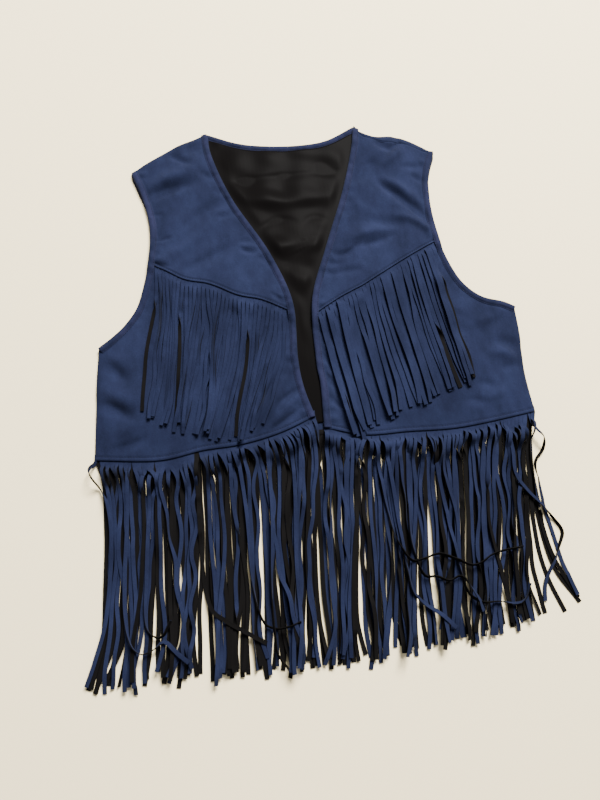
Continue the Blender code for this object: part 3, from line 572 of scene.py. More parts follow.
def front_height(side, x, y):
    """Return the height of a front's top face: its nominal level, the broad folds, the creases, a
    belly that grows away from the sewn edges, puckers beside the bindings and a small unevenness,
    kept over the lining by a soft floor."""
    sewn = np.full(np.shape(x), 1e3)
    pucker = np.zeros(np.shape(x))
    inward, width, rise, wavelength = BOUND_PUCKER
    place, half, depth = BINDING_GROOVE
    for number, rows in enumerate((ARMHOLE, FRONT_EDGE)):
        away, arc = nearest(edge(rows, side), x, y)
        sewn = np.minimum(sewn, away)
        past = away - size("binding")
        beside = np.exp(-((past - inward) / width) ** 2)
        swell = 0.5 + 0.5 * np.clip(flutter(arc, SEEDS["swell"] + number, SWELL_LENGTH), -1, 1)
        pucker += rise * swell * beside * flutter(arc, SEEDS["bound pucker"] + number, wavelength)
        pucker -= depth * np.exp(-((past - place) / half) ** 2)
    inward, width, rise, wavelength = SEWN_PUCKER
    for number, rows in enumerate((SIDE_SEAM, HEM)):
        away, arc = nearest(edge(rows, side), x, y)
        sewn = np.minimum(sewn, away)
        beside = np.exp(-((away - inward) / width) ** 2)
        pucker += rise * beside * flutter(arc, SEEDS["sewn pucker"] + number, wavelength)
    belly = BELLY * ramp(sewn, *BELLY_GROWS)
    seed = SEEDS[side + " front"]
    (high, long), (low, short) = UNEVEN
    uneven = high * waves(x, y, seed, long) + low * waves(x, y, seed + 10, short)
    level = FRONT_LIFT + size("suede")
    total = level + fold_rise(x, y) + CREASE_GAIN * crease_rise(CREASES[side], x, y) + belly + pucker
    total += uneven * ramp(sewn, *UNEVEN_GROWS)
    floor = CLEAR_OF_LINING + size("suede")
    return floor + LANDING * np.logaddexp(0, (total - floor) / LANDING)


def above_yoke_line(side, x, y):
    """Return how far each point lies above the yoke line, measured up the pattern."""
    return y - height_on(edge(YOKE_LINE, side), x)


HEM_STITCH = 4.4         # from the hem's edge to its stitches
YOKE_STITCH = 3.0
STITCH_GROOVE = 1.1      # half width of the groove that stitches pull
# Turned edges: radius and drop, and where they are stitched, how far in and how deep the groove is
SEAM_TURN = (6.0, 2.6)
HEM_TURN = (2.4, 1.0, HEM_STITCH, 0.5)
YOKE_TURN = (1.8, 0.8, YOKE_STITCH, 0.75)
SHOULDER_TURN = {"left": (4.0, 1.6), "right": (2.0, 1.0)}
LAP_CLIMBS = (-16.0, -3.0)          # how far above the yoke line a binding climbs over its lap


def turned_edge(away, radius, drop, stitch_at=0.0, sink=0.0):
    """Return the form of a turned edge: a quarter round that drops at the edge, and a groove where
    the stitches pull the cloth down, sink * exp(-((d - at) / half width)^2)."""
    t = np.clip(away / radius, 0, 1)
    form = -drop * (1 - np.sqrt(1 - (1 - t) ** 2))
    if sink:
        form -= sink * np.exp(-((away - stitch_at) / STITCH_GROOVE) ** 2)
    return form


def lower_top(side, x, y):
    """Return the height of a lower front's top face, rounded down at its side seam and hem."""
    seam, _ = nearest(edge(SIDE_SEAM, side), x, y)
    hem, _ = nearest(edge(HEM, side), x, y)
    return front_height(side, x, y) + turned_edge(seam, *SEAM_TURN) + turned_edge(hem, *HEM_TURN)


def yoke_top(side, x, y):
    """Return the height of a yoke's top face, which rides over the fringe header at the yoke line."""
    shoulder, _ = nearest(edge(SHOULDER, side), x, y)
    line, _ = nearest(edge(YOKE_LINE, side), x, y)
    lap = LAP_LIFT * (1 - ramp(above_yoke_line(side, x, y), *LAP_SETTLES))
    return (front_height(side, x, y) + lap + turned_edge(shoulder, *SHOULDER_TURN[side])
            + turned_edge(line, *YOKE_TURN))


def bound_top(side, x, y):
    """Return the height of a front under its bindings: it climbs over the lap at the yoke line."""
    above = above_yoke_line(side, x, y)
    lap = LAP_LIFT * ramp(above, *LAP_CLIMBS) * (1 - ramp(above, *LAP_SETTLES))
    return front_height(side, x, y) + lap


# Meshes

def mesh_piece(name, points, face_sets, finishes, nodes=(), finish_of=None, rings=(0, 0, 0)):
    """Make one object from points in millimetres and arrays of faces, all turned outwards.

    finish_of gives each face's material. rings is the number of points in a ring and in all rings,
    which come first, and of rings in a strand: the edges that run from ring to ring stay sharp, but
    for a face's middle one, and so do those round a strand's ends.
    """
    counts = np.concatenate([np.full(len(faces), faces.shape[1]) for faces in face_sets])
    corners = np.concatenate([faces.ravel() for faces in face_sets])
    mesh = bpy.data.meshes.new(name)
    mesh.vertices.add(len(points))
    mesh.vertices.foreach_set("co", (np.asarray(points) * MM).astype(np.float32).ravel())
    mesh.loops.add(len(corners))
    mesh.loops.foreach_set("vertex_index", corners.astype(np.int32))
    mesh.polygons.add(len(counts))
    mesh.polygons.foreach_set("loop_start", np.concatenate(([0], np.cumsum(counts)[:-1])).astype(np.int32))
    for finish in finishes:
        mesh.materials.append(finish)
    if finish_of is not None:
        mesh.polygons.foreach_set("material_index", finish_of.astype(np.int32))
    mesh.polygons.foreach_set("use_smooth", np.ones(len(counts), dtype=bool))
    mesh.update(calc_edges=True)
    work = bmesh.new()
    work.from_mesh(mesh)
    bmesh.ops.recalc_face_normals(work, faces=work.faces[:])
    work.to_mesh(mesh)
    work.free()
    around, in_rings, per_strand = rings
    if in_rings:
        ends = np.zeros(len(mesh.edges) * 2, dtype=np.int32)
        mesh.edges.foreach_get("vertices", ends)
        first, last = ends.reshape(-1, 2).T
        lengthwise = (first // around != last // around) & (first % around == last % around)
        place = first // around % per_strand
        at_end = (first // around == last // around) & ((place == 0) | (place == per_strand - 1))
        sharp = (at_end | (lengthwise & (first % (around // 2) != 1))) & (np.maximum(first, last) < in_rings)
        mesh.attributes.new("sharp_edge", "BOOLEAN", "EDGE").data.foreach_set("value", sharp)
    made = bpy.data.objects.new(name, mesh)
    bpy.context.scene.collection.objects.link(made)
    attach(made, "root")
    if nodes:
        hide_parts(*nodes)
    return made


def grid_faces(columns, rows):
    """Return the quads of a grid whose points run row by row within each column."""
    index = np.arange(columns * rows).reshape(columns, rows)
    return np.stack((index[:-1, :-1], index[1:, :-1], index[1:, 1:], index[:-1, 1:]), axis=-1).reshape(-1, 4)


def cloth_wall(plan, top, thickness):
    """Return points and faces of a closed wall of cloth: the grid's top face, the same grid lower
    by the thickness, and a strip round the rim."""
    columns, rows = plan.shape[:2]
    high = np.dstack((plan, top)).reshape(-1, 3)
    low = high - [0, 0, thickness]
    index = np.arange(columns * rows).reshape(columns, rows)
    lift = columns * rows
    quads = grid_faces(columns, rows)
    rim = np.concatenate((index[:, 0], index[-1, 1:], index[-2::-1, -1], index[0, -2:0:-1]))
    ahead = np.roll(rim, -1)
    skirt = np.stack((rim, ahead, ahead + lift, rim + lift), axis=-1)
    return np.vstack((high, low)), np.vstack((quads, quads[:, ::-1] + lift, skirt[:, ::-1]))


def tube_faces(rings, around):
    """Return the quads of a tube of rings, and its two end caps."""
    index = np.arange(rings * around).reshape(rings, around)
    ahead = np.roll(index, -1, axis=1)
    sides = np.stack((index[:-1], ahead[:-1], ahead[1:], index[1:]), axis=-1).reshape(-1, 4)
    return sides, np.stack((index[0][::-1], index[-1]))


# Finishes

def add(tree, kind, values=None, links=None, **settings):
    """Add a node with its settings, the values of its inputs and the sockets that feed them."""
    made = tree.nodes.new(kind)
    for name, value in settings.items():
        setattr(made, name, value)
    for name, value in (values or {}).items():
        made.inputs[name].default_value = value
    for name, source in (links or {}).items():
        tree.links.new(source, made.inputs[name])
    return made


def plain_material(name, **values):
    """Return a new material, its node tree and its shader, with these values on the shader."""
    made = bpy.data.materials.new(name)
    made.use_nodes = True
    shader = made.node_tree.nodes["Principled BSDF"]
    for socket, value in values.items():
        shader.inputs[socket.replace("_", " ")].default_value = value
    return made, made.node_tree, shader


def emboss(tree, shader, source, strength, depth):
    """Let a texture's value raise the surface that a shader sees, by up to a depth in metres."""
    relief = add(tree, "ShaderNodeBump", {"Strength": strength, "Distance": depth}, {"Height": source})
    tree.links.new(relief.outputs["Normal"], shader.inputs["Normal"])


def textured_material(name, kind, texture, bump, **values):
    """Return the material of this name, plain but for one fine texture that gives it relief."""
    made = bpy.data.materials.get(name)
    if made is not None:
        return made
    made, tree, shader = plain_material(name, **values)
    place = add(tree, "ShaderNodeTexCoord").outputs["Object"]
    emboss(tree, shader, add(tree, kind, texture, {"Vector": place}).outputs["Fac"], *bump)
    return made


# Sizes that the fine textures are drawn at, in metres. The fibres are 0.1 mm apart, the ribs 0.3 mm
# and the warp floats 0.15 mm, which no render shows, so their clumps are drawn instead.
FIBRES = 0.0009
RIBS = 0.020
FLOATS = 0.016
PLIES = 0.0006
BRUSHED = 0.032
BRUSHED_ON_BIAS = 0.02


def microsuede(name, lit, shade, patch_size=BRUSHED):
    """Microsuede: split polyester fibres raised to a short dense nap. No gloss and a soft sheen at
    grazing angles; the nap lies lighter or darker in patches where a hand has brushed it."""
    made = bpy.data.materials.get(name)
    if made is not None:
        return made
    made, tree, shader = plain_material(name, Roughness=0.9, Specular_IOR_Level=0.04, Sheen_Weight=0.03,
                                        Sheen_Roughness=0.45, Sheen_Tint=(0.72, 0.78, 1.0, 1.0))
    place = add(tree, "ShaderNodeTexCoord").outputs["Object"]
    brushed = add(tree, "ShaderNodeMapping", {"Rotation": (0, 0, 0.6), "Scale": (1, 0.5, 1)},
                  {"Vector": place})
    patches = add(tree, "ShaderNodeTexNoise", {"Scale": 1 / patch_size, "Detail": 4.0, "Roughness": 0.62},
                  {"Vector": brushed.outputs["Vector"]})
    grain = add(tree, "ShaderNodeTexNoise", {"Scale": 1 / FIBRES, "Detail": 2.0}, {"Vector": place})
    spread = add(tree, "ShaderNodeMapRange", {"From Min": 0.34, "From Max": 0.68},
                 {"Value": patches.outputs["Fac"]})
    nap = add(tree, "ShaderNodeMix", {6: shade, 7: lit}, {0: spread.outputs["Result"]}, data_type="RGBA")
    speck = add(tree, "ShaderNodeMapRange", {"From Min": 0.3, "From Max": 0.7, "To Min": 0.8, "To Max": 1.2},
                {"Value": grain.outputs["Fac"]})
    coat = add(tree, "ShaderNodeMix", {0: 1.0}, {6: nap.outputs[2], 7: speck.outputs["Result"]},
               data_type="RGBA", blend_type="MULTIPLY")
    tree.links.new(coat.outputs[2], shader.inputs["Base Color"])
    emboss(tree, shader, grain.outputs["Fac"], 0.5, 0.0003)
    return made


def knitted_reverse():
    """The knitted polyester back of the microsuede: matt black-brown, with fine ribs."""
    return textured_material("black knitted reverse", "ShaderNodeTexWave",
                             {"Scale": 1 / RIBS, "Distortion": 1.5, "Detail": 1.0}, (0.35, 0.0003),
                             Base_Color=colour("reverse"), Roughness=0.88, Specular_IOR_Level=0.05)


def satin():
    """Polyester lining satin: long warp floats give a dull broad gloss that runs with the thread."""
    return textured_material("black satin", "ShaderNodeTexWave",
                             {"Scale": 1 / FLOATS, "Distortion": 0.6, "Detail": 1.0}, (0.04, 0.0002),
                             Base_Color=colour("lining"), Roughness=0.36, Specular_IOR_Level=0.005,
                             Anisotropic=0.3)


def spun_thread():
    """Spun polyester sewing thread, a little glossier than the suede and darker."""
    return textured_material("polyester thread", "ShaderNodeTexNoise", {"Scale": 1 / PLIES},
                             (0.4, 0.0001), Base_Color=colour("thread"), Roughness=0.7,
                             Specular_IOR_Level=0.1)


def body_suede():
    """The suede of the panels and the fringe."""
    return microsuede("navy microsuede", colour("suede"), colour("shade"))


def edge_suede():
    """The suede of the bindings, cut on the bias, which takes the light a little more violet."""
    return microsuede("navy bias binding", colour("binding"), colour("shade"), BRUSHED_ON_BIAS)


# Panels

def graded(count, pull=0.1):
    """Return shares from 0 to 1 that lie closer at both ends: t - pull * sin(2 pi t)."""
    t = np.linspace(0, 1, count)
    return t - pull * np.sin(2 * np.pi * t)


def with_corner(shares, corner):
    """Move the share nearest to a corner onto it."""
    shares = shares.copy()
    shares[np.argmin(np.abs(shares - corner))] = corner
    return shares


PIT_AT = 0.45            # share of a front's side where its seam meets its armhole
LOWER_GRID = (132, 124)  # points across and up
YOKE_GRID = (104, 112)
BACK_GRID = (90, 70)
LINING_GRID = (228, 210)


def front_outline(side):
    """Return a front's armhole and front edge, moved in to where the panel ends in its binding."""
    armhole, front = edge(ARMHOLE, side), edge(FRONT_EDGE, side)
    return (armhole + EDGE_INSET * normals(armhole, SIDES[side]),
            front + EDGE_INSET * normals(front, -SIDES[side]))


def lower_front_plan(side):
    """Return the plan grid of a lower front, from its hem to a lap's height above the yoke line."""
    armhole, front = front_outline(side)
    lap_line = edge(YOKE_LINE, side) + [0, YOKE_LAP]
    seam = edge(SIDE_SEAM, side)
    seam = between(seam, seam[0], armhole[0])
    armhole = stretch(armhole, 0, share_at(armhole, lap_line[0]))
    front = stretch(front, 0, share_at(front, lap_line[-1]))
    across, up = graded(LOWER_GRID[0]), with_corner(graded(LOWER_GRID[1]), PIT_AT)
    top = along(between(lap_line, armhole[-1], front[-1]), across)
    bottom = along(between(edge(HEM, side), seam[0], front[0]), across)
    outer = chain((seam, armhole), (0, PIT_AT, 1), up)
    return patch(bottom, outer, top, along(front, up), across, up)


def yoke_plan(side):
    """Return the plan grid of a yoke, from the yoke line to the shoulder."""
    armhole, front = front_outline(side)
    line = edge(YOKE_LINE, side)
    armhole = stretch(armhole, share_at(armhole, line[0]), 1)
    front = stretch(front, share_at(front, line[-1]), 1)
    across, up = (graded(count) for count in YOKE_GRID)
    bottom = along(between(line, armhole[0], front[0]), across)
    top = along(between(edge(SHOULDER, side), armhole[-1], front[-1]), across)
    return patch(bottom, along(armhole, up), top, along(front, up), across, up)


def back_side(side, shoulder_rows, bound, seam_inset, hem_inset):
    """Return one side of the back: its seam, armhole and shoulder, with bound edges moved in."""
    seam = edge(SIDE_SEAM, side) - [SIDES[side] * seam_inset, 0]
    armhole = edge(ARMHOLE, side)
    armhole = armhole + bound * normals(armhole, SIDES[side])
    shoulder = edge(shoulder_rows, side) - [0, seam_inset]
    tip = along(shoulder, [bound / lengths(shoulder)[-1]])[0]
    armhole = stretch(armhole, 0, share_at(armhole, tip))
    pit = np.array([seam[-1, 0], armhole[0, 1]])
    seam = between(seam, seam[0] + [0, hem_inset], pit)
    return seam, between(armhole, pit, armhole[-1]), shoulder


BACK_PIT_AT = 0.34
NECK_AT = (0.25, 0.74)   # shares of the back's width where its neck starts and ends
BACK_UNEVEN = (0.04, 60.0)          # height and wavelength
BACK_SPARE = 0.1         # the most that it rises
OFF_TABLE = 0.02         # from the table to the back's underside
# How far the lining's edge lies inside the back's: at the armholes, neck, side seams and hem
LINING_INSETS = (13.0, 8.3, 13.0, 15.0)
# The lining's relief grows in from the fronts' edges and up from the foot of the V
LINING_GROWS = (1.0, 14.0)
LINING_OPENS = (-60.0, 10.0)
LINING_MEAN = 0.7
LINING_UNEVEN = (0.5, 40.0)         # height and wavelength
LINING_LOWEST = -0.2


def back_plan(shoulder_rows, bound, neck_inset, seam_inset=0.0, hem_inset=0.0, grid=BACK_GRID):
    """Return the plan grid of the back or of its lining."""
    columns, rows = grid
    neck = neck_line() - [0, neck_inset]
    across, up = np.linspace(0, 1, columns), with_corner(np.linspace(0, 1, rows), BACK_PIT_AT)
    for corner in NECK_AT:
        across = with_corner(across, corner)
    seams, armholes, shoulders = {}, {}, {}
    for side, corner in (("left", neck[0]), ("right", neck[-1])):
        seam, armhole, shoulder = back_side(side, shoulder_rows, bound, seam_inset, hem_inset)
        seams[side], armholes[side] = seam, armhole
        shoulders[side] = between(shoulder, armhole[-1], corner)
    hem = stretch(np.array((seams["left"][0], seams["right"][0])))
    left, right = (chain((seams[side], armholes[side]), (0, BACK_PIT_AT, 1), up) for side in SIDES)
    top = chain((shoulders["left"], neck, shoulders["right"][::-1]), (0, *NECK_AT, 1), across)
    return patch(along(hem, across), left, top, right, across, up)


# Where the back's cloth comes forward over the right shoulder: its reach from the neck to the
# armhole, the groove of its seam as depth and half width, its thickness, and the rise of its
# crown, of its unevenness and of its low edge over the back
WRAP_REACH = (96.0, 186.0)
WRAP_GROOVE = (1.0, 1.2)
WRAP_THICKNESS = 1.0
WRAP_CROWN = 0.4
WRAP_UNEVEN = (0.3, 24.0)
WRAP_FOOT = 0.2
WRAP_SHARES = np.array([-0.12, 0.0, 0.05, 0.1, 0.2, 0.35, 0.5, 0.65, 0.8, 0.9, 0.96, 0.99, 1.0])


def shoulder_wrap():
    """Return the plan and height of the back's cloth where it comes forward over the right shoulder.

    The strip runs from the shoulder seam (v = 0) to the back's own outline (v = 1). From the seam,
    where the stitches pull a groove, it falls by 1 - sqrt(1 - v^2) to the back's level.
    """
    x = np.linspace(*WRAP_REACH, BACK_GRID[0])
    v = WRAP_SHARES
    seam = height_on(edge(SHOULDER, "right"), x)
    width = height_on(edge(BACK_SHOULDER, "right"), x) - seam
    y = seam[:, None] + v * width[:, None]
    rise, wavelength = WRAP_UNEVEN
    start = (front_height("right", x, seam)[:, None]
             + rise * waves(x, seam, SEEDS["wrap"], wavelength)[:, None])
    depth, half = WRAP_GROOVE
    groove = depth * np.exp(-((v * width[:, None] / half) ** 2))
    crown = WRAP_CROWN * np.sin(np.pi * np.clip(v, 0, 1))
    fall = 1 - np.sqrt(1 - np.clip(v, 0, 1) ** 2)
    top = start - groove + crown + (BACK_TOP + WRAP_FOOT - start) * fall
    return np.dstack((np.broadcast_to(x[:, None], y.shape), y)), top


def make_back():
    """Make the back panel: flat on the table, with its right shoulder turned forward."""
    plan = back_plan(BACK_SHOULDER, EDGE_INSET, EDGE_INSET)
    rise, wavelength = BACK_UNEVEN
    flat = BACK_TOP + rise * waves(plan[..., 0], plan[..., 1], SEEDS["back"], wavelength)
    flat = np.minimum(flat, BACK_TOP + BACK_SPARE)
    points, faces = cloth_wall(plan, flat, BACK_TOP - OFF_TABLE)
    wrap_plan, wrap_top = shoulder_wrap()
    more, more_faces = cloth_wall(wrap_plan, wrap_top, WRAP_THICKNESS)
    made = mesh_piece("back", np.vstack((points, more)), [faces, more_faces + len(points)],
                      [body_suede()], ["back_panel"])


def make_lining():
    """Make the satin lining of the back, with the soft folds that show in the V of the neck."""
    plan = back_plan(SHOULDER, *LINING_INSETS, LINING_GRID)
    x, y = plan[..., 0], plan[..., 1]
    open_v = np.ones_like(x)
    for side, sign in SIDES.items():
        away, _ = nearest(edge(FRONT_EDGE, side), x, y)
        line = edge(FRONT_EDGE, side)
        reach = np.interp(y, line[:, 1], sign * line[:, 0])
        inside = np.where(sign * x < reach, away, 0)
        open_v *= ramp(inside, *LINING_GROWS)
    open_v *= ramp(y, *LINING_OPENS)
    rise, wavelength = LINING_UNEVEN
    uneven = rise * waves(x, y, SEEDS["lining"], wavelength)
    relief = crease_rise(LINING_CREASES, x, y) + LINING_MEAN + uneven
    top = LINING_TOP + open_v * np.maximum(relief, LINING_LOWEST)
    points, faces = cloth_wall(plan, top, size("lining"))
    made = mesh_piece("lining", points, [faces], [satin()], ["back_lining"])


def make_panel(kind, node, side, plan, top_of):
    """Make one panel of a front: a wall of suede with the given top."""
    points, faces = cloth_wall(plan, top_of(side, plan[..., 0], plan[..., 1]), size("suede"))
    made = mesh_piece(kind + side, points, [faces], [body_suede()], [node + side])


def make_fronts():
    """Make the two lower fronts, from the hem up under the yokes."""
    for side in SIDES:
        make_panel("lower_front_", "front_", side, lower_front_plan(side), lower_top)


def make_yokes():
    """Make the two front yokes, which lap over the chest fringes."""
    for side in SIDES:
        make_panel("front_yoke_", "yoke_", side, yoke_plan(side), yoke_top)


# Bindings

# A binding's section, from its inner edge over its top, down its outer side and back underneath:
# reach in from the outer line and height over the cloth, for a binding 8 mm wide
BINDING_SECTION = table("reach height",
                        (8.1, -0.15), (7.9, 0.22), (7.45, 0.42), (6.9, 0.22), (6.3, 0.75),
                        (5.2, 1.35), (3.8, 1.6), (2.4, 1.5), (1.2, 1.1), (0.4, 0.4),
                        (0.0, -0.5), (0.05, -1.4), (0.5, -2.1), (1.0, -1.95), (1.05, -0.9),
                        (1.15, -0.1), (1.8, 0.1), (4.5, 0.1), (7.3, 0.05))
SECTION_WIDTH = 8.0
SECTION_LEG = 2.1        # how far it reaches down, which a binding can change
OUTERMOST = 10           # the row on the outer line
HANGS_UNDER = -0.3       # rows lower than this hang from the outermost one
BINDING_STITCH = 6.9     # from the outer line to the stitches
BINDING_STEP = 1.2
# Share of the reach and of the height that wavers, and the wavelength
REACH_WAVERS = (0.035, 42.0)
HEIGHT_WAVERS = ((0.12, 10.0), (0.08, 26.0))
BINDING_NODES = {"armhole": "binding_armhole_front_", "front": "binding_front_"}
ENDS_SHORT = {"left": 0.0, "right": 2.0}    # of the neck's corner, the front bindings
OVER_SHOULDER = 2.6      # how deep a front's bindings turn over the shoulder
TURN_LENGTH = 6.0        # of a binding's end, over which it turns
TURN_WIDTH = 0.4         # of the binding's width, at its turned end
NECK_LIFT = 0.9          # of the neck's binding over the back's top
NECK_LEG = 1.6           # how far down the neck's section reaches, and the back armholes'
BACK_LEG = 0.9
BACK_SHOWS = 1.8         # how far a back armhole's binding stands out past the front's
SHOWS_AT = (60.0, 30.0, 10.0)       # from the shoulder: where it starts to, does, and stops


def binding_lines(side):
    """Return a front's outer lines with their inward side: its armhole and its front edge."""
    front = edge(FRONT_EDGE, side)
    return {"armhole": (edge(ARMHOLE, side), SIDES[side]),
            "front": (stretch(front, last=1 - ENDS_SHORT[side] / lengths(front)[-1]), -SIDES[side])}


def bind(name, node, line, inward, level, seed, leg=SECTION_LEG, over_end=0.0):
    """Carry the binding's section along a line of the plan. level gives the height of the cloth at
    a point; the reach and the height waver a little along the way, and over the last millimetres
    the section can sink by a quarter round, where the binding turns over the shoulder."""
    line = stretch(line, step=BINDING_STEP)
    arc = lengths(line)
    aim = normals(line, inward)
    width = size("binding") / SECTION_WIDTH
    share, wavelength = REACH_WAVERS
    reach = BINDING_SECTION["reach"][None] * width * (1 + share * flutter(arc, seed, wavelength))[:, None]
    turn = 1 - np.sqrt(1 - np.clip((arc - arc[-1] + TURN_LENGTH) / TURN_LENGTH, 0, 1) ** 2)[:, None]
    if over_end:
        reach = np.maximum(reach, TURN_WIDTH * size("binding") * turn)
    plan = line[:, None] + reach[..., None] * aim[:, None]
    wavers = np.ones(len(arc))
    for number, (share, wavelength) in enumerate(HEIGHT_WAVERS, 1):
        wavers += share * flutter(arc, seed + number, wavelength)
    over = BINDING_SECTION["height"]
    height = np.where(over > 0, over * wavers[:, None], over * leg / SECTION_LEG)
    beneath = level(plan[..., 0], plan[..., 1])
    beneath = np.where(over[None] < HANGS_UNDER, beneath[:, [OUTERMOST]], beneath)
    if over_end:
        beneath = beneath - over_end * turn
    points = np.dstack((plan, beneath + height)).reshape(-1, 3)
    sides, caps = tube_faces(*plan.shape[:2])
    made = mesh_piece(name, points, [sides, caps], [edge_suede()], [node])


def make_bindings():
    """Make the bindings: the neck, and each side's front edge and two halves of its armhole."""
    bind("neck_binding", "binding_neck", neck_line(), -1, level_at(BACK_TOP + NECK_LIFT), SEEDS["neck"],
         leg=NECK_LEG)
    for number, side in enumerate(SIDES):
        for part, (line, inward) in binding_lines(side).items():
            bind(part + "_binding_front_" + side, BINDING_NODES[part] + side, line, inward,
                 partial(bound_top, side), BINDING_SEEDS[part][number], over_end=OVER_SHOULDER)
        armhole = edge(ARMHOLE, side)
        arc = lengths(armhole)
        first, full, last = (arc[-1] - gap for gap in SHOWS_AT)
        out = BACK_SHOWS * ramp(arc, first, full) * (1 - ramp(arc, last, arc[-1]))
        armhole = armhole - out[:, None] * normals(armhole, SIDES[side])
        bind("armhole_binding_back_" + side, "binding_armhole_back_" + side, armhole, SIDES[side],
             level_at(BACK_TOP), SEEDS["back armholes"] + number, leg=BACK_LEG)


# Stitches

# One stitch: place along it, as a share of its length, half thickness and rise, in millimetres
STITCH_RINGS = table("place thick rise",
                     (-0.5, 0.10, -0.25), (-0.3, 0.24, 0.12), (0.3, 0.24, 0.12), (0.5, 0.10, -0.25))
STITCH_SIDES = 5
STITCH_WIDE = 1.3        # times as wide as high
ON_BINDING = 0.22        # height of a binding's stitches over the cloth beneath it
# Parts of the lines that are stitched, as shares of their length
STITCHED = {"hem": (0.015, 0.975), "yoke": (0.05, 0.95), "binding": (0.01, 0.985), "neck": (0.05, 0.95)}


def stitch_points(line):
    """Return the rings of stitches spaced along a line in space: each is a spindle of rings, laid
    along the line's tangent and dipping into the cloth at its two ends."""
    travelled = lengths(line)
    count = int(travelled[-1] / size("pitch"))
    places = (np.arange(count) + 0.5) / count
    middle = along(line, places)
    run = along(line, np.minimum(places + 0.002, 1)) - along(line, np.maximum(places - 0.002, 0))
    run /= np.linalg.norm(run, axis=1)[:, None]
    aside = np.cross([0, 0, 1], run)
    aside /= np.linalg.norm(aside, axis=1)[:, None]
    over = np.cross(run, aside)
    turn = 2 * np.pi * np.arange(STITCH_SIDES) / STITCH_SIDES
    thick = STITCH_RINGS["thick"][:, None]
    reach = (STITCH_RINGS["place"] * size("stitch"))[:, None] * np.ones(STITCH_SIDES)
    beside = thick * np.cos(turn) * STITCH_WIDE
    rise = STITCH_RINGS["rise"][:, None] + thick * np.sin(turn)
    return (middle[:, None, None] + reach[None, ..., None] * run[:, None, None]
            + beside[None, ..., None] * aside[:, None, None] + rise[None, ..., None] * over[:, None, None])


def stitch_row(line, part, inset, inward, top_of):
    """Return the line in space of a row of stitches: the stitched part of a line, moved in, at the
    height of the cloth there."""
    row = stretch(line, *STITCHED[part], 1.0)
    row = row + inset * normals(row, inward)
    return np.column_stack((row, top_of(row[:, 0], row[:, 1])))


def make_stitches():
    """Make the rows of stitches: along both hems, both yoke lines and every binding that shows."""
    lines = []
    for side in SIDES:
        lines.append(stitch_row(edge(HEM, side), "hem", HEM_STITCH, -SIDES[side], partial(lower_top, side)))
        yoke = stretch(edge(YOKE_LINE, side), *STITCHED["yoke"], 1.0) + [0, YOKE_STITCH * 1.08]
        lines.append(np.column_stack((yoke, yoke_top(side, yoke[:, 0], yoke[:, 1]))))
        for line, inward in binding_lines(side).values():
            lines.append(stitch_row(line, "binding", BINDING_STITCH, inward, partial(bound_top, side))
                         + [0, 0, ON_BINDING])
    lines.append(stitch_row(neck_line(), "neck", BINDING_STITCH, -1, level_at(BACK_TOP + NECK_LIFT))
                 + [0, 0, ON_BINDING])
    points = np.concatenate([stitch_points(line) for line in lines])
    count, rings, around = points.shape[:3]
    sides, caps = tube_faces(rings, around)
    starts = (np.arange(count) * rings * around)[:, None, None]
    mesh_piece("stitches", points.reshape(-1, 3),
               [(sides[None] + starts).reshape(-1, 4), (caps[None] + starts).reshape(-1, around)],
               [spun_thread()])


# Fringe

FEELS_AT = np.linspace(-1, 1, 5)    # across a strand, where it rests on what lies under it
COVERS_AT = np.linspace(-1, 1, 9)   # and where it covers it
FEELS_BESIDE = 0.3       # farther than the strand's edge
FINER = 5                # covering points for each point of the way
BRIDGING = np.array([1, 2, 3, 3, 3, 2, 1]) / 15


def ribbon(path, aside, half, places):
    """Return the points across a path at these places, in half widths."""
    return path[:, None] + (places[None] * half[:, None])[..., None] * aside[:, None]


class Heap:
    """The height of what already lies at each place of the plan, on a square grid."""

    def __init__(self, low, high, level):
        """Start from a level over the region between two corners."""
        self.low = np.array(low, dtype=float)
        columns, rows = np.ceil((np.array(high) - self.low) / CELL).astype(int)
        x, y = np.meshgrid(self.low[0] + CELL * np.arange(columns), self.low[1] + CELL * np.arange(rows),
                           indexing="ij")
        self.top = level(x, y)

    def cells(self, at):
        """Return the grid cells of plan points."""
        index = np.clip(((at - self.low) / CELL + 0.5).astype(int), 0, np.array(self.top.shape) - 1)
        return index[..., 0], index[..., 1]

    def lay(self, path, half, roll, thick):
        """Lay one strand down and return the height that its middle line rests at.

        At each point it rests on the highest place under its width, and being stiff it bridges the
        dips: the largest of three neighbours, averaged over seven, or the place itself if that is
        higher. Rolled over by an angle, its section stands half * |sin| + thick / 2 * |cos| high.
        """
        aside = normals(path, 1)
        wide = half * np.abs(np.cos(roll)) + FEELS_BESIDE
        under = self.top[self.cells(ribbon(path, aside, wide, FEELS_AT))].max(axis=1)
        padded = np.pad(under, 1, mode="edge")
        near = np.maximum(np.maximum(padded[:-2], padded[2:]), under)
        eased = np.convolve(np.pad(near, 3, mode="edge"), BRIDGING, mode="valid")
        rest = np.maximum(under, eased)
        stand = half * np.abs(np.sin(roll)) + thick / 2 * np.abs(np.cos(roll))
        fine = np.linspace(0, len(path) - 1, FINER * len(path))
        index = np.arange(len(path))
        middle, side = (np.column_stack([np.interp(fine, index, axis) for axis in line.T])
                        for line in (path, aside))
        top = np.interp(fine, index, rest + 2 * stand)
        breadth = np.interp(fine, index, wide - FEELS_BESIDE)
        covered = self.cells(ribbon(middle, side, breadth, COVERS_AT))
        np.maximum.at(self.top, covered, np.repeat(top[:, None], len(COVERS_AT), axis=1))
        return rest + stand


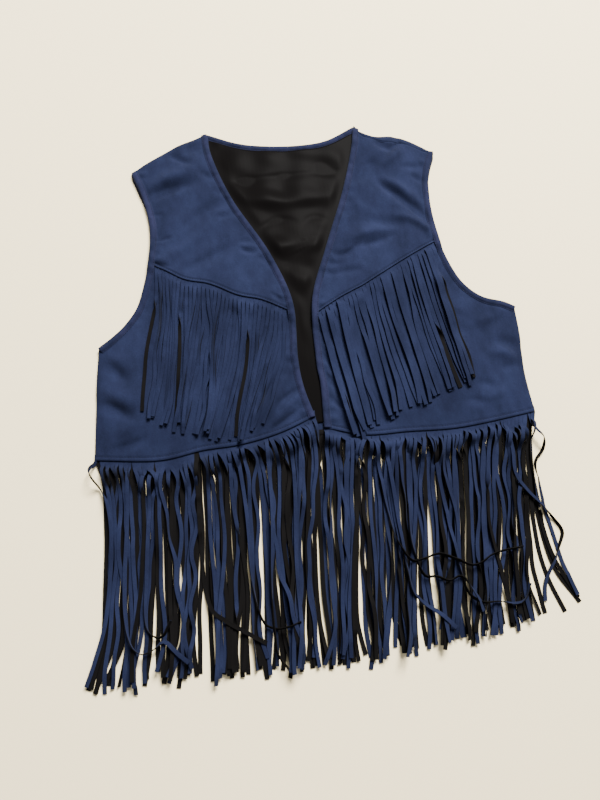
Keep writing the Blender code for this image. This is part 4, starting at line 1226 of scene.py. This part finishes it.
# A strand's section, with its blue face up: place across in half widths, height in thicknesses,
# and what a full crown adds to that
STRAND_SECTION = table("across height crown",
                       (-1.0, -0.5, 0.0), (0.0, -0.5, 0.16), (1.0, -0.5, 0.0),
                       (1.0, 0.5, 0.0), (0.0, 0.5, 0.24), (-1.0, 0.5, 0.0))
STRAND_SIDES = 6
# The strands' sides take the black of the knitted back: partly the cut edge's own colour, partly painted
# shade along each strand's edges
BLUE_SIDES = np.array([False, False, False, True, True, False])
JOINED = 0.01            # half the gap between two strands in the header
PARTS_OVER = 6.0
ROOT_TUCK = 0.6          # how far under the edge the strands start
HEADER_VARIES = 0.2      # of how much of a header shows, and the least of it that does
HEADER_LEAST = 0.5

# How loosely each fringe hangs: the slit between its strands, how far their ends' heights vary,
# the draw of their locks, their own wander, how far some cross over, the splay of their ends, their
# tilt in degrees, and the share that stands on edge for a stretch
LOOSE_COLUMNS = ("slit", "ends", "lock", "own", "cross", "splay", "tilt", "on_edge")
LOOSE = {name: dict(zip(LOOSE_COLUMNS, values)) for name, values in {
    "back": (0.3, 4.0, 0.06, 1.4, 5.0, 5.0, 13.0, 0.08),
    "front": (0.7, 5.0, 0.3, 3.9, 24.0, 5.0, 20.0, 0.16),
    "left chest": (1.1, 3.2, 0.5, 2.0, 9.0, 2.4, 19.0, 0.05),
    "right chest": (0.34, 3.2, 0.2, 1.2, 9.0, 2.4, 10.0, 0.05),
}.items()}

# Shares of a strand's length over which each of its movements grows
GROWS = {"own locks": (0.045, 0.36), "shared locks": (0.42, 1.0), "lean": (0.03, 1.4),
         "waves": (0.06, 0.3), "splay": (0.82, 1.1), "tilt": (0.05, 0.2)}
# Shares of a strand's length where it can start to cross, to turn over near the root or further
# down, and stand on edge, and the share that each takes
CROSSES_AT = (0.05, 0.45)
FLIPS_EARLY_AT = (0.05, 0.09)
FLIPS_LATE_AT = (0.2, 0.8)
ON_EDGE_AT = (0.25, 0.95)
CROSSES_OVER = 0.55
FLIPS_OVER = 0.13
ON_EDGE_OVER = 0.14
ON_EDGE_BY = (50.0, 85.0)           # degrees
TILT_WAVES = (0.6, 2.2)             # of tilt along a strand
CROSSING = 0.14          # share of the strands that cross over others
FLIPPED_EARLY = 0.72     # of the strands that turn over, the share that does so near the root
BACK_FLIPPED = 0.12      # share of the back's strands that turn their blue side up

# Locks: their widths, of one layer and of the whole hem, how those vary, and the heights over which
# they lean once across
OWN_LOCKS = (17.0, 26.0, 38.0)
SHARED_LOCKS = (31.0, 44.0, 68.0)
LOCKS_VARY = (0.85, 1.15)
LOCKS_LEAN = (380.0, 900.0)
SHARED_DRAW = 0.44
LEAN_GAIN = 1.2          # of a strand's own lean
# A strand's own waves: the shortest and the longest, and their reach as a share of its wander
OWN_WAVES = ((90.0, 220.0, 0.4), (45.0, 90.0, 0.26))
# Swells along a fringe: seed and wavelength
SWELLS = {"header": (120, 55.0), "arch": (130, 38.0), "twist": (160, 70.0), "bulge": (140, 20.0)}
HEADER_STEP = 3.0        # between two points of a header strip
HAIR = 0.06              # how much lower than the strands' the header's top is


class Strands:
    """The strands of one fringe: their roots under an edge, the part of each that stays joined to
    its neighbours, and their width, and later on their way, their roll and their height."""

    def __init__(self, line, count, shown, chance, rings, spacing, loose):
        """Root the strands along a line, with what shows of the header before they part."""
        self.count, self.chance, self.line, self.loose = count, chance, line, loose
        self.across = (np.arange(count) + 0.5) / count
        self.root = along(line, self.across) + [0, ROOT_TUCK]
        self.half = lengths(line)[-1] / count / 2
        self.header = shown * np.maximum(1 + chance.normal(0, HEADER_VARIES, count), HEADER_LEAST)
        self.u = np.linspace(0, 1, rings) ** spacing

    def run(self, end):
        """Lead the strands from their roots straight to about their end height."""
        self.end = end + self.chance.normal(0, self.loose["ends"], self.count)
        y = self.root[:, 1:] + (self.end - self.root[:, 1])[:, None] * self.u
        self.plan = np.dstack((np.broadcast_to(self.root[:, :1], y.shape), y))

    def below(self):
        """Return how far below its header each point lies, which is negative within the header."""
        return self.root[:, 1:] - self.plan[..., 1] - self.header[:, None]

    def halves(self):
        """Return the half widths: joined within the header, then parted by a slit."""
        return self.half - JOINED - (self.loose["slit"] / 2 - JOINED) * ramp(self.below(), 0, PARTS_OVER)

    def lay(self, heap, thick, order):
        """Lay the strands down one by one."""
        halves = self.halves()
        self.height = np.zeros(self.plan.shape[:2])
        for i in order:
            self.height[i] = heap.lay(self.plan[i], halves[i], self.roll[i], thick)

    def points(self, thick):
        """Return the points of the strands: the flat section carried along each way and rolled
        about it, with a crown that is flat within the header."""
        paths = np.dstack((self.plan, self.height))
        run = np.gradient(paths, axis=1)
        run /= np.linalg.norm(run, axis=2)[..., None]
        aside = np.cross(run, [0, 0, 1])
        aside /= np.linalg.norm(aside, axis=2)[..., None]
        over = np.cross(aside, run)
        turn_cos, turn_sin = np.cos(self.roll)[..., None], np.sin(self.roll)[..., None]
        flat = turn_cos * aside + turn_sin * over
        face = turn_cos * over - turn_sin * aside
        reach = self.halves()[..., None] * STRAND_SECTION["across"]
        crown = ramp(self.below(), -1, PARTS_OVER)[..., None]
        height = thick * (STRAND_SECTION["height"] + crown * STRAND_SECTION["crown"])
        return paths[:, :, None] + reach[..., None] * flat[:, :, None] + height[..., None] * face[:, :, None]

    def area(self):
        """Return the area of the cloth that the fringe is cut from, in square metres."""
        across = lengths(self.line)[-1]
        return across * (HEADER_TUCK + np.mean(self.root[:, 1] - self.end)) * MM * MM


def fringe_piece(name, node, strands, thick, header, face_up):
    """Join strands and their header strip into one piece, blue on one face and black on the other."""
    points = strands.points(thick)
    count, rings = points.shape[:2]
    sides, caps = tube_faces(rings, STRAND_SIDES)
    starts = (np.arange(count) * rings * STRAND_SIDES)[:, None, None]
    blue = np.tile(BLUE_SIDES, rings - 1)
    header_points, header_faces = header
    faces = [(sides[None] + starts).reshape(-1, 4), (caps[None] + starts).reshape(-1, STRAND_SIDES),
             header_faces + count * rings * STRAND_SIDES]
    header_blue = np.full(len(header_faces), face_up)
    finish = np.concatenate((np.tile(~blue, count), np.zeros(2 * count, bool), ~header_blue))
    made = mesh_piece(name, np.vstack((points.reshape(-1, 3), header_points)), faces,
                      [body_suede(), knitted_reverse()], [node], finish.astype(int),
                      (STRAND_SIDES, count * rings * STRAND_SIDES, rings))
    strands.area()


def header_strip(line, level, thick):
    """Return the closed strip of the header that is sewn in above the strands' roots, its top a
    hair lower than theirs."""
    line = stretch(line, step=HEADER_STEP)
    plan = line[:, None] + np.array([HEADER_TUCK, HEADER_TUCK / 2, 0])[None, :, None] * [0, 1]
    return cloth_wall(plan, level(plan[..., 0], plan[..., 1]) + thick / 2 - HAIR, thick)


def read(rows, column, across):
    """Return a table's column at these places across a fringe."""
    return np.interp(across, rows["across"], rows[column])


def pick(chance, count, share):
    """Return a seeded choice of about this share of the strands, as booleans."""
    return chance.random(count) < share


def swell_of(name, number, along_it):
    """Return a named swell along a fringe, of about unit size."""
    seed, wavelength = SWELLS[name]
    return flutter(along_it, seed + number, wavelength)


def varied(chance, mean, swell, spread, field):
    """Return a value for each strand: a mean, its swell along the fringe and a draw of its own."""
    return (mean + swell * field + chance.normal(0, spread, len(field)))[:, None]


def sway(rows, across, u):
    """Return how far strands lie to the side of their roots: a smooth curve through the stops of a
    table, weighted by how near each point is to each stop."""
    stops = np.column_stack([np.zeros(len(across))] + [read(rows, name, across) for name in SWAY_COLUMNS])
    basis = smooth_curve(np.column_stack((SWAY_AT, np.eye(len(SWAY_AT)))))
    return stops @ np.array([np.interp(u, basis[:, 0], weight) for weight in basis.T[1:]])


def locks(chance, widths, x, y):
    """Return how far locks draw strands aside: sines of the place across the fringe that turn
    slowly with the height. Each one's reach goes with its width, so that neighbours are drawn
    together or apart in the same measure."""
    total = np.zeros(np.shape(y))
    for width in widths:
        rate = 2 * np.pi / (width * chance.uniform(*LOCKS_VARY))
        climb = 2 * np.pi / chance.uniform(*LOCKS_LEAN) * chance.choice((-1, 1))
        total += np.sin(rate * x + climb * y + chance.uniform(0, 2 * np.pi)) / rate
    return total


def wander(strands):
    """Return the strands' sideways wandering: locks, a lean and a wave of each strand's own,
    crossings, which are long smooth steps, and a splay that grows near the end."""
    chance, count, u, loose = strands.chance, strands.count, strands.u, strands.loose
    y = strands.plan[..., 1]
    draw = loose["lock"] * locks(chance, OWN_LOCKS, strands.root[:, :1], y)
    total = draw * ramp(u, *GROWS["own locks"])
    total += chance.normal(0, loose["own"], count)[:, None] * ramp(u, *GROWS["lean"]) * LEAN_GAIN
    for shortest, longest, share in OWN_WAVES:
        rate = 2 * np.pi / chance.uniform(shortest, longest, count)
        phase = chance.uniform(0, 2 * np.pi, count)
        bend = chance.normal(0, share * loose["own"], count)
        total += (bend[:, None] * np.sin(rate[:, None] * y + phase[:, None])
                  * ramp(u, *GROWS["waves"]))
    crosses = pick(chance, count, CROSSING)
    crossing = np.where(crosses, chance.uniform(-loose["cross"], loose["cross"], count), 0)
    start = chance.uniform(*CROSSES_AT, count)[:, None]
    total += crossing[:, None] * ramp(u[None], start, start + CROSSES_OVER)
    return total + chance.normal(0, loose["splay"], count)[:, None] * ramp(u, *GROWS["splay"])


def hem_locks(strands):
    """Return the draw of the locks that the hem's two layers share, which open towards the ends."""
    chance = np.random.default_rng(SEEDS["shared locks"])
    field = locks(chance, SHARED_LOCKS, strands.root[:, :1], strands.plan[..., 1])
    return SHARED_DRAW * field * ramp(strands.u, *GROWS["shared locks"])


def rolls(strands, base, flipped):
    """Return how far the strands are rolled over along their way, in radians: a small tilt that
    wavers, a half turn for some, most of them near the root, and a stretch on edge for a few."""
    chance, count, u = strands.chance, strands.count, strands.u
    tilt = np.radians(chance.normal(0, strands.loose["tilt"], count))[:, None]
    turns = u * chance.uniform(*TILT_WAVES, count)[:, None] + chance.random(count)[:, None]
    tilt = tilt * np.sin(2 * np.pi * turns)
    turned = np.where(pick(chance, count, flipped), np.pi, 0.0) * chance.choice((-1, 1), count)
    at = np.where(pick(chance, count, FLIPPED_EARLY), chance.uniform(*FLIPS_EARLY_AT, count),
                  chance.uniform(*FLIPS_LATE_AT, count))[:, None]
    edge_at = chance.uniform(*ON_EDGE_AT, count)[:, None]
    on_edge = pick(chance, count, strands.loose["on_edge"])
    stands = np.radians(np.where(on_edge, chance.uniform(*ON_EDGE_BY, count), 0))[:, None]
    return (base + tilt * ramp(u, *GROWS["tilt"]) + turned[:, None] * ramp(u, at, at + FLIPS_OVER)
            + stands * np.exp(-(((u - edge_at) / ON_EDGE_OVER) ** 2)))


def arch(below, reach, rise):
    """Return the height of a strand's arch: rise * sin(pi (d / reach)^0.8), until it lands."""
    t = np.clip(below / reach, 0, 1)
    return rise * np.sin(np.pi * t**0.8)


HEM_RINGS = 76
HEM_SPACING = 1.2        # power that draws the rings together at the root
HEM_REGION = ((-300.0, -400.0), (290.0, -90.0))
BACK_DROPS = (-2.0, 10.0)           # below its header, where the back's fringe drops to the table
# The arches of the front hem strands: reach, rise and twist in degrees, each as a mean, its swell
# along the hem and how far it varies from strand to strand
ARCH_REACH = (25.0, 5.0, 3.2)
ARCH_RISE = (8.4, 2.0, 1.5)
ARCH_TWIST = (0.0, 28.0, 24.0)
TWIST_LIMIT = 65.0
ARCH_LEAN = 2.4
ARCH_TOP = (16.0, 13.0)             # below the header, and half the length that leans and twists
ARCH_LANDS = 0.55        # share of its reach from which an arch comes down on what lies there
HEADER_RISE = (1.5, 0.5)            # of the header towards the slits, and its swell
HEADER_CURVES = 1.3      # of the header's size, over which it rises
HEADER_SINKS = 0.3       # under the front, into the cloth that it is sewn to
FREE_OVER = (-1.0, 4.0)  # below its header, where a strand leaves it
HEAP_STARTS = 0.1        # level over the table that the first strands rest at
TOP_LIMIT = 20.5         # no strand's middle rises over this


def make_hem_fringe():
    """Make the hem fringes: the back's lies on the table, black side up, and the two fronts' arch
    out from their headers and fall over it."""
    heap = Heap(*HEM_REGION, level_at(HEAP_STARTS))
    make_back_fringe(heap)
    for number, side in enumerate(SIDES):
        make_front_fringe(heap, number, side)


def make_back_fringe(heap):
    """Make the fringe of the back's hem, which drops from the back's level to the table."""
    thick = size("strand")
    level = BACK_TOP + GAP + thick / 2
    left, right = ([SIDES[side] * SIDE_SEAM[side + "_x"][0], SIDE_SEAM[side + "_y"][0]] for side in SIDES)
    strands = Strands(stretch(np.array((left, right))), count_of("back_strands"), size("header"),
                      np.random.default_rng(SEEDS["back strands"]), HEM_RINGS, HEM_SPACING, LOOSE["back"])
    strands.run(read(BACK_SWAY, "height", strands.across))
    strands.plan[..., 0] += sway(BACK_SWAY, strands.across, strands.u) + hem_locks(strands) + wander(strands)
    strands.roll = rolls(strands, np.pi, BACK_FLIPPED)
    strands.lay(heap, thick, strands.chance.permutation(strands.count))
    strands.height += (level - strands.height) * (1 - ramp(strands.below(), *BACK_DROPS))
    header = header_strip(strands.line, level_at(level), thick)
    fringe_piece("hem_fringe_of_the_back", "hem_fringe_back", strands, thick, header, False)


def make_front_fringe(heap, number, side):
    """Make one front's hem fringe, which arches up from its header and falls over the back's."""
    thick, count = size("strand"), count_of("hem_strands")
    across = (np.arange(count) + 0.5) / count
    shown = size("header") * read(HEM_HEADER, side, across)
    strands = Strands(stretch(edge(HEM, side)), count, shown,
                      np.random.default_rng(SEEDS["hem strands"] + number), HEM_RINGS, HEM_SPACING,
                      LOOSE["front"])
    chance, root_x = strands.chance, strands.root[:, 0]
    strands.run(read(HEM_ENDS, side, across))
    below = strands.below()
    top, half = ARCH_TOP
    over_arch = np.exp(-(((below - top) / half) ** 2)) * ramp(below, 0, PARTS_OVER)
    lean = chance.normal(0, ARCH_LEAN, count)[:, None] * over_arch
    strands.plan[..., 0] += (sway(HEM_SWAY[side], across, strands.u) + hem_locks(strands) + lean
                             + wander(strands))
    twist = varied(chance, *ARCH_TWIST, swell_of("twist", number, root_x))
    twist = np.radians(np.clip(twist, -TWIST_LIMIT, TWIST_LIMIT))
    strands.roll = rolls(strands, 0.0, read(HEM_BLACK, side, across)) + twist * over_arch
    taken = wanderers(side, strands.root, strands.u)
    for i, (path, turn) in taken.items():
        strands.plan[i], strands.roll[i] = path, turn
    strands.lay(heap, thick, [i for i in chance.permutation(count) if i not in taken] + sorted(taken))

    below = strands.below()
    under = BACK_TOP + 2 * GAP + 1.5 * thick - HEADER_SINKS
    swell = swell_of("header", number, root_x)
    t = np.clip((below + strands.header[:, None]) / (HEADER_CURVES * size("header")), 0, 1)
    rise, more = HEADER_RISE
    joined = under + (rise + more * swell)[:, None] * (1 - np.cos(np.pi / 2 * t))
    reach = varied(chance, *ARCH_REACH, swell)
    rise = varied(chance, *ARCH_RISE, swell_of("arch", number, root_x))
    landed = ramp(below, ARCH_LANDS * reach, reach)
    arched = (joined + arch(below, reach, rise)) * (1 - landed) + strands.height * landed
    free = np.minimum(np.maximum(strands.height, arched), TOP_LIMIT)
    strands.height = joined + (free - joined) * ramp(below, *FREE_OVER)
    header = header_strip(edge(HEM, side), level_at(under), thick)
    fringe_piece("hem_fringe_of_the_front_" + side, "hem_fringe_front_" + side, strands, thick, header, True)


def wanderers(side, root, u):
    """Return the listed strands of one side: for the strand whose root is nearest to each
    one's start, its path and roll, both smooth curves through the points."""
    taken = {}
    for rows in WANDERERS.values():
        start = np.array([rows["x"][0], rows["y"][0]])
        if SIDES[side] * start[0] < 0:
            continue
        free = [i for i in range(len(root)) if i not in taken]
        i = free[int(np.argmin(np.linalg.norm(root[free] - start, axis=1)))]
        points = np.column_stack((rows["x"], rows["y"], rows["roll"] / 10))
        points[0, :2] = root[i]
        curve = smooth_curve(points)
        travelled = lengths(curve[:, :2])
        wanted = u * travelled[-1]
        path = np.column_stack([np.interp(wanted, travelled, axis) for axis in curve.T])
        taken[i] = (path[:, :2], np.radians(path[:, 2] * 10))
    return taken


CHEST_HEADER = 0.6       # of the hem's header
CHEST_RINGS = 60
CHEST_SPACING = 1.1
CHEST_SETTLES = 22.0     # below the chest header, where its strands lie on the cloth
CHEST_MARGIN = 9.0       # from the yoke line's ends
CHEST_REGION = ((2.0, -150.0), (216.0, 104.0))      # from the centre line outwards
CHEST_DRIFTS = 1.3       # power of the length with which the strands drift aside
CHEST_BULGE = (1.6, 0.8)            # of the strands as they leave the header, and its swell
CHEST_FREE_OVER = (-2.0, 4.0)       # below its header, where a strand leaves it
CHEST_ROLL = 0.13        # outwards, in radians
CHEST_ROLLS_OVER = 12.0  # below the header
CHEST_HEADER_LIFT = 0.5  # over the front's top
OVER_CLOTH = 0.1         # from the front's top to what the chest strands lie on
OFF_CLOTH = 4.6          # level of what the chest strands lie on past the hem
# Chest strands that turn their black side up, by their number from the outer end, and the share of
# their length where they start to
TURNED = {"left": {0: 0.2, 7: 0.2, 24: 0.2}, "right": {0: 0.2, 5: 0.52}}
TURNS_OVER = 0.16        # share of its length that the turn takes


def chest_ground(side, x, y):
    """Return the level of what the chest strands lie on: the lower front, or the hem's header."""
    on_cloth = y > height_on(edge(HEM, side), x)
    return np.where(on_cloth, lower_top(side, x, y) + OVER_CLOTH, OFF_CLOTH)


def chest_header_level(side, x, y):
    """Return the level of the middle of the chest fringe's header."""
    return front_height(side, x, y) + CHEST_HEADER_LIFT + size("strand") / 2


def make_chest_fringe():
    """Make the two chest fringes, which hang from under the yokes over the lower fronts."""
    for number, side in enumerate(SIDES):
        make_one_chest_fringe(number, side)


def make_one_chest_fringe(number, side):
    """Make the chest fringe of one side."""
    thick, header_level = size("strand"), partial(chest_header_level, side)
    (inner, low), (outer, high) = CHEST_REGION
    start, end = sorted((SIDES[side] * inner, SIDES[side] * outer))
    heap = Heap((start, low), (end, high), partial(chest_ground, side))
    line = edge(YOKE_LINE, side)
    margin = CHEST_MARGIN / lengths(line)[-1]
    strands = Strands(stretch(line, margin, 1 - margin), count_of("chest_strands"),
                      CHEST_HEADER * size("header"),
                      np.random.default_rng(SEEDS["chest strands"] + number), CHEST_RINGS,
                      CHEST_SPACING, LOOSE[side + " chest"])
    chance, across, count = strands.chance, strands.across, strands.count
    strands.run(read(CHEST_DRIFT, side + "_y", across))
    drift = read(CHEST_DRIFT, side + "_x", across)[:, None]
    strands.plan[..., 0] += drift * strands.u**CHEST_DRIFTS + wander(strands)
    strands.roll = rolls(strands, 0.0, 0.0)
    strands.roll += CHEST_ROLL * SIDES[side] * ramp(strands.below(), 0, CHEST_ROLLS_OVER)
    turned = list(TURNED[side])
    turns_at = np.array(list(TURNED[side].values()))[:, None]
    strands.roll[turned] += np.pi * ramp(strands.u, turns_at, turns_at + TURNS_OVER)
    strands.lay(heap, thick, turned + [i for i in chance.permutation(count) if i not in turned])

    below = strands.below()
    low = header_level(strands.root[:, 0], strands.root[:, 1])[:, None]
    bulge, swell = CHEST_BULGE
    bulge = (bulge + swell * swell_of("bulge", number, strands.root[:, 0]))[:, None]
    settled = ramp(below, CHEST_SETTLES / 2, CHEST_SETTLES)
    arched = (low + arch(below, CHEST_SETTLES, bulge)) * (1 - settled) + strands.height * settled
    strands.height = low + (np.maximum(strands.height, arched) - low) * ramp(below, *CHEST_FREE_OVER)
    header = header_strip(strands.line, header_level, thick)
    fringe_piece("chest_fringe_of_the_" + side, "chest_fringe_" + side, strands, thick, header, True)


# Stage

CAMERA_AT = (-0.0855, -0.2520, 0.648)
CAMERA_TURN = (15.0, -3.8, -7.1)
LENS = 27.0
WINDOW_AT = (0.9, 1.9, 2.5)
WINDOW_SIZE = 1.4
WINDOW_POWER = 560.0
WINDOW_COLOUR = (1.0, 0.985, 0.96)
ROOM_LIGHT = 0.5
ROOM_COLOUR = (0.97, 0.98, 1.0, 1)
TABLE_REACH = 2.0
TABLE_TOP = -0.0002


def make_stage():
    """Make the table, the soft lights and the camera, which looks down from the hem's side."""
    corners = [(x * TABLE_REACH, y * TABLE_REACH, TABLE_TOP)
               for x, y in ((-1, -1), (1, -1), (1, 1), (-1, 1))]
    mesh = bpy.data.meshes.new("table")
    mesh.from_pydata(corners, [], [(0, 1, 2, 3)])
    top = bpy.data.objects.new("table", mesh)
    bpy.context.scene.collection.objects.link(top)
    mesh.materials.append(plain_material("pale tablecloth", Base_Color=colour("floor"), Roughness=0.85,
                                         Specular_IOR_Level=0.2)[0])

    world = bpy.data.worlds.new("room")
    world.use_nodes = True
    sky = world.node_tree.nodes["Background"]
    sky.inputs["Color"].default_value = ROOM_COLOUR
    sky.inputs["Strength"].default_value = ROOM_LIGHT
    bpy.context.scene.world = world
    light = bpy.data.lights.new("window", "AREA")
    light.size = WINDOW_SIZE
    light.energy = WINDOW_POWER
    light.color = WINDOW_COLOUR
    lamp = bpy.data.objects.new("window", light)
    lamp.location = WINDOW_AT
    lamp.rotation_euler = (-lamp.location).to_track_quat("-Z", "Y").to_euler()
    bpy.context.scene.collection.objects.link(lamp)

    lens = bpy.data.cameras.new("photo view")
    lens.lens = LENS
    lens.sensor_width = 36.0
    lens.clip_start = 0.01
    view = bpy.data.objects.new("photo view", lens)
    view.location = CAMERA_AT
    view.rotation_euler = [math.radians(a) for a in CAMERA_TURN]
    bpy.context.scene.collection.objects.link(view)
    bpy.context.scene.camera = view


# Add-on

class VEST_OT_back(Operator):
    """Make the back panel and the satin lining that shows in the V of the neck."""

    bl_idname = "vest.back"
    bl_label = "Back and Lining"

    def execute(self, context):
        make_back()
        make_lining()
        return {"FINISHED"}


class VEST_OT_fronts(Operator):
    """Make the two lower fronts and the two yokes, with their creases."""

    bl_idname = "vest.fronts"
    bl_label = "Fronts and Yokes"

    def execute(self, context):
        make_fronts()
        make_yokes()
        return {"FINISHED"}


class VEST_OT_bindings(Operator):
    """Make the bindings of the neck, the front edges and the armholes."""

    bl_idname = "vest.bindings"
    bl_label = "Bindings"

    def execute(self, context):
        make_bindings()
        return {"FINISHED"}


class VEST_OT_stitches(Operator):
    """Make the rows of stitches along the hems, the yokes and the bindings."""

    bl_idname = "vest.stitches"
    bl_label = "Stitches"

    def execute(self, context):
        make_stitches()
        return {"FINISHED"}


class VEST_OT_hem_fringe(Operator):
    """Make the hem fringes of the back and of the two fronts."""

    bl_idname = "vest.hem_fringe"
    bl_label = "Hem Fringe"

    def execute(self, context):
        make_hem_fringe()
        return {"FINISHED"}


class VEST_OT_chest_fringe(Operator):
    """Make the two chest fringes under the yokes."""

    bl_idname = "vest.chest_fringe"
    bl_label = "Chest Fringe"

    def execute(self, context):
        make_chest_fringe()
        return {"FINISHED"}


class VEST_OT_stage(Operator):
    """Make the table, the lights and the camera."""

    bl_idname = "vest.stage"
    bl_label = "Table, Lights and Camera"

    def execute(self, context):
        make_stage()
        return {"FINISHED"}


OPERATORS = (VEST_OT_back, VEST_OT_fronts, VEST_OT_bindings, VEST_OT_stitches, VEST_OT_hem_fringe,
             VEST_OT_chest_fringe, VEST_OT_stage)


class VEST_PT_main(Panel):
    """Fringed western vest: its sizes, its colours and its pieces."""

    bl_idname = "VEST_PT_main"
    bl_label = "Fringed Western Vest"
    bl_space_type = "VIEW_3D"
    bl_region_type = "UI"
    bl_category = "Vest"

    def draw(self, context):
        """List the sizes, the colours and a button for each operator."""
        for group in (context.scene.vest_sizes, context.scene.vest_colours):
            box = self.layout.box()
            for name in group.__annotations__:
                box.prop(group, name)
        column = self.layout.column(align=True)
        for kind in OPERATORS:
            column.operator(kind.bl_idname)


CLASSES = (VestSizes, VestColours, *OPERATORS, VEST_PT_main)


def register():
    """Register the classes and hang the sizes and colours on the scene."""
    for kind in CLASSES:
        bpy.utils.register_class(kind)
    bpy.types.Scene.vest_sizes = PointerProperty(type=VestSizes)
    bpy.types.Scene.vest_colours = PointerProperty(type=VestColours)


def unregister():
    """Undo what register did."""
    del bpy.types.Scene.vest_colours
    del bpy.types.Scene.vest_sizes
    for kind in reversed(CLASSES):
        bpy.utils.unregister_class(kind)


def main():
    """Make the whole vest."""
    register()
    bpy.ops.vest.back()
    bpy.ops.vest.fronts()
    bpy.ops.vest.bindings()
    bpy.ops.vest.stitches()
    bpy.ops.vest.hem_fringe()
    bpy.ops.vest.chest_fringe()
    bpy.ops.vest.stage()


if __name__ == "__main__":
    main()
